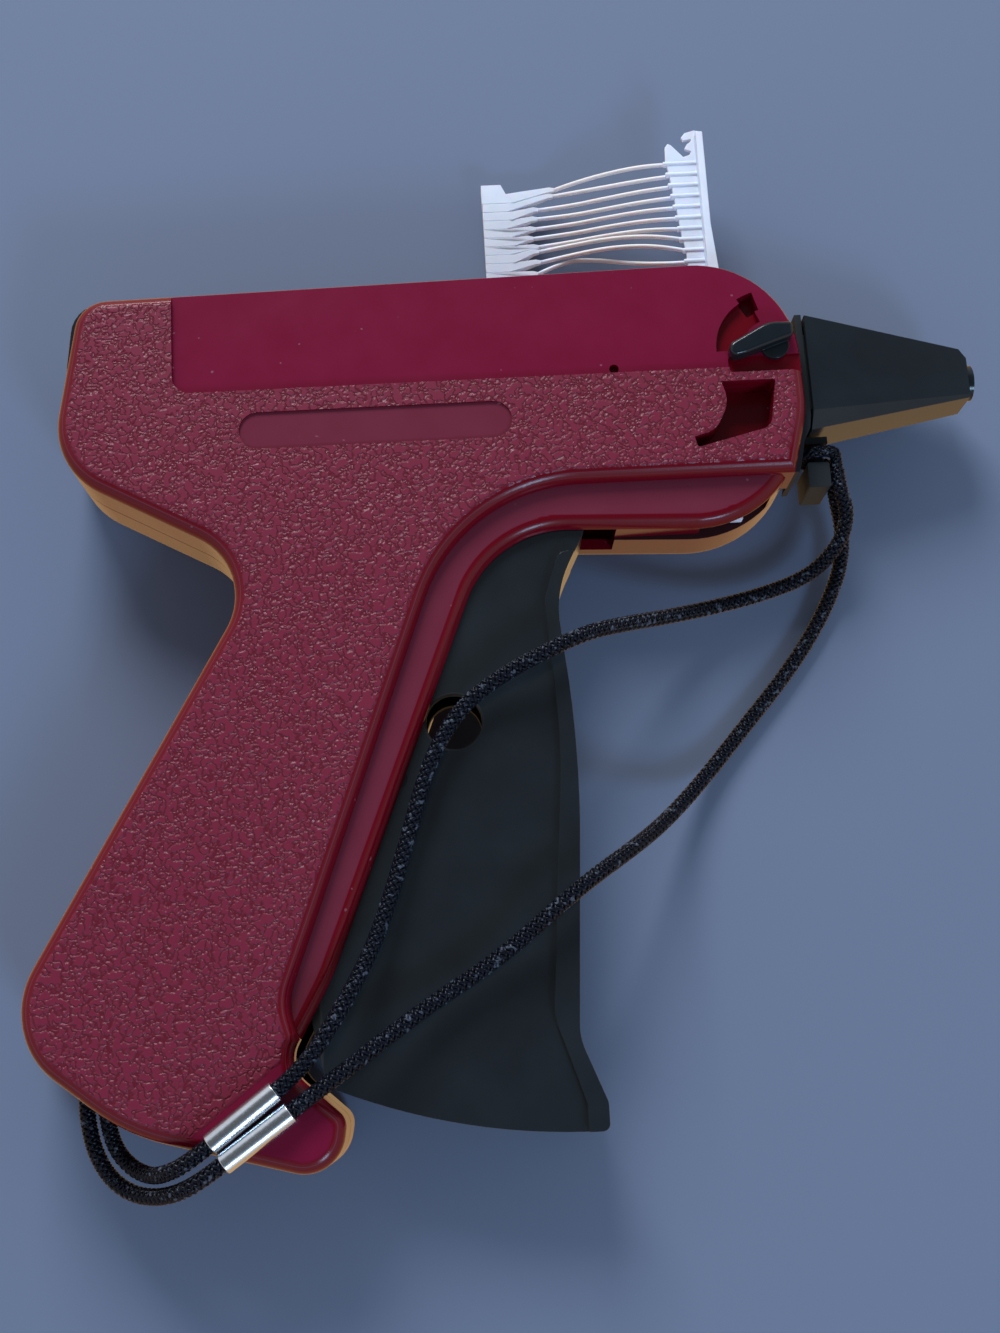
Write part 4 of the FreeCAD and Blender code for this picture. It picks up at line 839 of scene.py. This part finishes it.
def casing_finish():
    paint = Finish("crimson_plastic", Specular_IOR_Level=0.24)
    on_face = paint.z.ramp(FACE_LEVEL - 0.16 * MM, FACE_LEVEL - 0.02 * MM)
    toe = (paint.x * 0.6 - paint.y * 0.8).ramp(45.2 * MM, 45.9 * MM)
    grained = on_face * (1 - toe)
    label, panel, ledge = (1 - paint.z.distance_to(level).ramp(0.02 * MM, 0.06 * MM)
                           for level in FLAT_LEVELS)
    seam = 1 - paint.z.distance_to(SEAM_LEVEL).ramp(0.10 * MM, 0.22 * MM)
    low_down = 1 - paint.z.ramp(16.0 * MM, 17.5 * MM)
    gap = paint.patch(GAP_PLACE, 6 * MM, 7 * MM) * low_down

    drift = paint.noise(500.0, 1.0)
    wander = paint.node("VectorMath", {"operation": "MULTIPLY_ADD"}, drift, (0.0009,) * 3,
                        paint.place)
    ridge = paint.noise(820.0, 1.0, 0.4, at=wander).distance_to(0.5).ramp(0.0, 0.12)
    soft = paint.noise(160.0, 3.0)
    fine = paint.noise(2600.0, 2.0)
    # Pale pink specks scattered over the casing: painted glints, as if the grain caught the
    # light.
    glint_specks = paint.noise(900.0, 0.0).ramp(0.845, 0.875)

    panel_red = paint.mix(soft, (0.155, 0.005, 0.027), (0.182, 0.008, 0.037))
    # A paler, greyer red for the label's place and the ledge: painted sheen, where these flats
    # mirror the bright world.
    sheen_red = paint.mix(soft, (0.140, 0.018, 0.037), (0.158, 0.024, 0.046))
    # The grain's valleys get a darker red than its islands: painted shade in the creases.
    grain_red = paint.mix(ridge, (0.125, 0.009, 0.022), (0.180, 0.018, 0.042))
    # Everything off the face and the sunk flats, the rounded edges and the walls, gets a deep,
    # dark red: painted shade.
    smooth_red = paint.mix(on_face + panel, (0.140, 0.001, 0.008), panel_red)
    smooth_red = paint.mix(label + ledge, smooth_red, sheen_red)
    red = paint.mix(grained, smooth_red, grain_red)
    red = paint.mix(seam * 0.9, red, (0.010, 0.001, 0.003))
    # Painted glints: the pale pink specks are mixed into the red here.
    red = paint.mix(glint_specks * 0.25, red, (0.45, 0.25, 0.32))
    red = paint.mix(gap, red, (0.006, 0.001, 0.002))
    height = grained * ridge + fine * 0.03
    rough = grained * 0.14 + soft * 0.06 + (seam + gap) * 0.6 + 0.19
    return paint.feed(Base_Color=red, Roughness=rough,
                      Normal=paint.bump(height, 0.16 * MM, 1.0))


casing = casing_finish()
print(casing.name, len(casing.node_tree.nodes), "nodes")

# %% [markdown]
# ## Black plastic
#
# Black plastic shows its gloss rather than its colour, so it needs a faint waviness and a
# few rubbed places more than a tint. There are three kinds: the nose, the lock and the
# corner piece are polished, the frame is satin, and the trigger has the strongest sheen.
# On the trigger, the wall of the round hole and the corner that turns in behind the
# handle lie in shade. They are darker and duller, so that they don't mirror the table.

# %% Black plastic
HOLE_PLACE = (-21.0 * MM, -40.6 * MM)


def black_finish(name, specular, dull, hollow=False):
    paint = Finish(name, Specular_IOR_Level=specular)
    wear = paint.noise(70.0, 4.0, 0.6)
    speck = paint.noise(1500.0, 2.0)
    colour = paint.mix(wear, (0.006, 0.008, 0.011), (0.013, 0.019, 0.024))
    rough = wear * 0.14 + dull
    if hollow:
        hole = paint.patch(HOLE_PLACE, 4.95 * MM, 5.15 * MM)
        corner = 1 - paint.x.ramp(-46.5 * MM, -44.5 * MM)
        inside = (hole + corner).ramp(0.0, 0.6)
        colour = paint.mix(inside, colour, (0.002, 0.002, 0.002))
        rough = rough + inside * 0.7
    return paint.feed(Base_Color=colour, Roughness=rough,
                      Normal=paint.bump(speck, 0.01 * MM, 0.6))


black = black_finish("black_plastic_polished", 0.30, 0.13)
satin = black_finish("black_plastic_satin", 0.25, 0.55)
trigger_black = black_finish("black_plastic_trigger", 0.6, 0.16, hollow=True)
print("black finishes", [finish.name for finish in (black, satin, trigger_black)])

# %% [markdown]
# ## Cord and fasteners
#
# The cord's yarns differ a little from one another, by the tone that each one keeps in its mesh,
# and scattered pale flecks are painted glints, where fibres would catch the light. The fasteners
# are milky nylon: light goes a little way into it, and the thin filaments look warmer than the
# rack.

# %% Cord and nylon


def cord_finish():
    paint = Finish("braided_cord", Specular_IOR_Level=0.16)
    yarn = paint.node("Attribute", {"attribute_name": "yarn"}, output="Fac")
    fibre = paint.noise(3200.0, 2.0)
    blotch = paint.noise(520.0, 1.0)
    glint_flecks = paint.noise(1050.0, 0.0).ramp(0.66, 0.74)
    colour = paint.mix(yarn, (0.0015, 0.002, 0.004), (0.004, 0.006, 0.014))
    colour = paint.mix(blotch * 0.5, colour, (0.002, 0.004, 0.012))
    # Painted glints: pale flecks on the yarns.
    colour = paint.mix(glint_flecks * 0.3, colour, (0.20, 0.24, 0.32))
    return paint.feed(Base_Color=colour, Roughness=fibre * 0.2 + 0.24,
                      Normal=paint.bump(fibre, 0.05 * MM, 0.7))


def nylon_finish():
    paint = Finish("milky_nylon", Subsurface_Weight=0.25, Subsurface_Scale=1.2 * MM,
                   Specular_IOR_Level=0.5)
    cloud = paint.noise(260.0, 3.0)
    warm = paint.x.ramp(0.0 * MM, 6.0 * MM) * (1 - paint.x.ramp(22.0 * MM, 25.5 * MM))
    white = paint.mix(cloud, (0.66, 0.71, 0.84), (0.76, 0.80, 0.90))
    colour = paint.mix(warm * 0.8, white, (0.78, 0.71, 0.67))
    return paint.feed(Base_Color=colour, Roughness=cloud * 0.15 + 0.32,
                      Normal=paint.bump(cloud, 0.08 * MM, 0.5))


cord_black = cord_finish()
nylon = nylon_finish()
print(cord_black.name, "and", nylon.name)

# %% [markdown]
# ## Metals and inner plastic
#
# Bare metal is all reflection, so what tells one from another is how bright it is and how
# much a fine streak blurs what it mirrors. The screws and pins are plain steel, the pin
# that shows in the trigger is blued, and the ferrules are bright aluminium. The levers
# and slides inside are an off-white plastic that a hand never polishes.

# %% Metals and inner plastic


def metal_finish(name, dark, bright, rough):
    paint = Finish(name, Metallic=1.0)
    streak = paint.noise(2200.0, 3.0, 0.6)
    stain = paint.noise(180.0, 2.0)
    colour = paint.mix(stain, dark, bright)
    return paint.feed(Base_Color=colour, Roughness=streak * 0.16 + rough,
                      Normal=paint.bump(streak, 0.012 * MM, 0.6))


def inner_finish():
    paint = Finish("inner_plastic_plain", Specular_IOR_Level=0.45)
    cloud = paint.noise(140.0, 3.0)
    fine = paint.noise(2400.0, 1.0)
    colour = paint.mix(cloud, (0.50, 0.49, 0.45), (0.60, 0.59, 0.55))
    return paint.feed(Base_Color=colour, Roughness=cloud * 0.1 + 0.42,
                      Normal=paint.bump(fine, 0.01 * MM, 0.5))


steel = metal_finish("plain_steel", (0.30, 0.30, 0.31), (0.46, 0.46, 0.48), 0.28)
blued = metal_finish("blued_steel", (0.035, 0.037, 0.045), (0.06, 0.062, 0.07), 0.38)
aluminium = metal_finish("crimped_aluminium", (0.60, 0.63, 0.68), (0.78, 0.80, 0.84), 0.17)
inner = inner_finish()
FINISHES = {
    "casing": casing,
    "black_plastic": black,
    "inner_plastic": inner,
    "clip_plastic": nylon,
    "steel": steel,
    "ferrule": aluminium,
    "cord": cord_black,
}
print(len(FINISHES), "finishes for the record's slots")

# %% [markdown]
# ## Dress the frame
#
# Every node of the frame takes the finish of its material slot, seen or unseen, so that
# nothing bare comes to light when the gun moves. Only the pin in the trigger differs.

# %% Dress the frame
slots = {part["node"]: part["material_slot"] for part in frame["record"]["subparts"]}
bodies = frame["record"]["behaviour"]["bodies"]
body_of = {node: body for body, nodes in bodies.items() for node in nodes}


def dress(piece, finish):
    """Gives the piece this finish and no other."""
    piece.data.materials.clear()
    piece.data.materials.append(finish)


for node, solid in frame["nodes"].items():
    dress(solid, FINISHES[slots[node]])
dress(frame["nodes"]["cross_pin"], blued)
print(len(frame["nodes"]), "nodes dressed")

# %% [markdown]
# ## Put the new pieces in their places
#
# A new piece rides on the body of the node that it stands for, and that node is hidden.
# The four pieces of the clip stand together for its two nodes, and move with them.

# %% Stand in for nodes


def stand_in(piece, *nodes):
    """The piece rides where these nodes do, wears their finish and stands for them."""
    dress(piece, FINISHES[slots[nodes[0]]])
    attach(piece, body_of[nodes[0]])
    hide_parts(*nodes)


for name, (node, _, _) in MOULDED.items():
    stand_in(mouldings[name], node)
dress(mouldings["nose_frame"], satin)
dress(mouldings["trigger_moulding"], trigger_black)
for tube, (_, _, node) in zip(ferrules, FERRULES.values()):
    stand_in(tube, node)
stand_in(corner_piece, "rear_corner_insert")
clip_pieces = [rack, tbars, paddles, filaments]
for piece in clip_pieces:
    stand_in(piece, "fastener_clip", "clip_runner")
stand_in(braids["braid_strand_a"], "lanyard_strand_a")
stand_in(braids["braid_strand_b"], "lanyard_strand_b")
stand_in(braids["braid_loop_a"], "loop_cord_a")
stand_in(braids["braid_loop_b"], "loop_cord_b")
for hitch in hitches:
    stand_in(hitch, "lanyard_hitch")
new_pieces = [corner_piece, *mouldings.values(), *ferrules, *clip_pieces, *braids.values(),
              *hitches]
print(len(new_pieces), "new pieces in place")

# %% [markdown]
# ## The cords listed
#
# A cord is more than its shape: it has a length, a thickness and two ends, and it hangs limp.
# Here each one is only listed, with its route, a length, what its far end meets and its
# fittings. The strands end in the ferrules, and the loops go back into the handle.

CORDS = [
    ("braid_strand_a", STRAND_A, 0.1664, "fitting", [ferrules[0]]),
    ("braid_strand_b", STRAND_B, 0.1610, "fitting", [ferrules[1]]),
    ("braid_loop_a", LOOP_A, 0.0381, "object", []),
    ("braid_loop_b", LOOP_B, 0.0450, "object", []),
]
for name, route, length, far_end, fittings in CORDS:
    [v * MM for v in route[0]]
print(len(CORDS), "cords declared")

# %% [markdown]
# ## Floor
#
# The floor is plain, pale and dull. The upright walls of the casing mirror the table that
# the gun lies on, and a warm one brings out their gloss. So the floor sends a warm tone
# to glossy rays alone, by the Light Path node, and keeps its own colour and the gun's
# shadow for the camera.

# %% Floor
FLOOR_LEVEL = -0.05 * MM
TABLE_TONE = (0.60, 0.38, 0.18)
TABLE_STRENGTH = 1.1

take()
bpy.ops.mesh.primitive_plane_add(size=6.0, location=(0, 0, FLOOR_LEVEL))
floor = bpy.context.object
floor.name = "floor"
paint = Finish("floor_paint", Roughness=0.9, Specular_IOR_Level=0.1)
cloud = paint.noise(6.0, 2.0)
paint.feed(Base_Color=paint.mix(cloud, (0.158, 0.193, 0.283), (0.162, 0.198, 0.289)))
plain = Reading(paint, paint.shader.outputs["BSDF"])
glow = paint.node("Emission", {}, TABLE_TONE, TABLE_STRENGTH)
glossy = paint.node("LightPath", {}, output="Is Glossy Ray")
either = paint.node("MixShader", {}, glossy, plain, glow)
paint.put(paint.nodes["Material Output"].inputs["Surface"], either)
dress(floor, paint.material)
print("floor at", round(floor.location.z / MM, 2), "mm")

# %% [markdown]
# ## World
#
# Light is soft and plain. The world is bright low down and dark overhead, so that the
# flat faces, which mirror what is above them, keep their colour, and only the rounded
# edges shine. How high a ray points is the Z of its direction, and between two values of
# it the world's strength falls from one level to the other.

# %% World
SKY_COLOUR = (0.86, 0.92, 1.0)
SKY_TURNS = (0.62, 0.87)
SKY_LEVELS = (0.70, 0.12)

world = bpy.data.worlds.new("studio")
world.use_nodes = True
sky = Formula(world.node_tree)
direction = sky.node("TexCoord", {}, output="Generated")
upward = sky.node("SeparateXYZ", {}, direction, output="Z")
strength = sky.node("MapRange", {"interpolation_type": "SMOOTHSTEP"}, upward, *SKY_TURNS,
                    *SKY_LEVELS)
sky.put(sky.nodes["Background"].inputs["Color"], SKY_COLOUR)
sky.put(sky.nodes["Background"].inputs["Strength"], strength)
bpy.context.scene.world = world
bpy.context.scene.view_settings.view_transform = "Standard"
print("world from", SKY_LEVELS[0], "down to", SKY_LEVELS[1], "overhead")

# %% [markdown]
# ## Lamps
#
# A broad lamp stands beyond the top edge, and a smaller, bluer one beyond the foot of the
# handle, towards the nose, as light from two windows would fall. Both are round area
# lamps, whose size makes the edges of the shadows soft.

# %% Lamps


def make_lamp(name, place, target, size, power, colour):
    """A round lamp at a place in metres, turned to its target."""
    lamp = bpy.data.lights.new(name, "AREA")
    lamp.shape = "DISK"
    lamp.size = size
    lamp.energy = power
    lamp.color = colour
    holder = add_object(name, lamp)
    holder.location = place
    way = Vector(target) - Vector(place)
    holder.rotation_euler = way.to_track_quat("-Z", "Y").to_euler()
    print(name, power, "W")


make_lamp("window", (-0.22, 0.90, 0.60), (0, 0, 0), 0.5, 11.5, (0.90, 0.95, 1.0))
make_lamp("fill", (0.35, -0.75, 0.55), (0, -0.03, 0), 0.24, 3.4, (0.42, 0.68, 1.0))
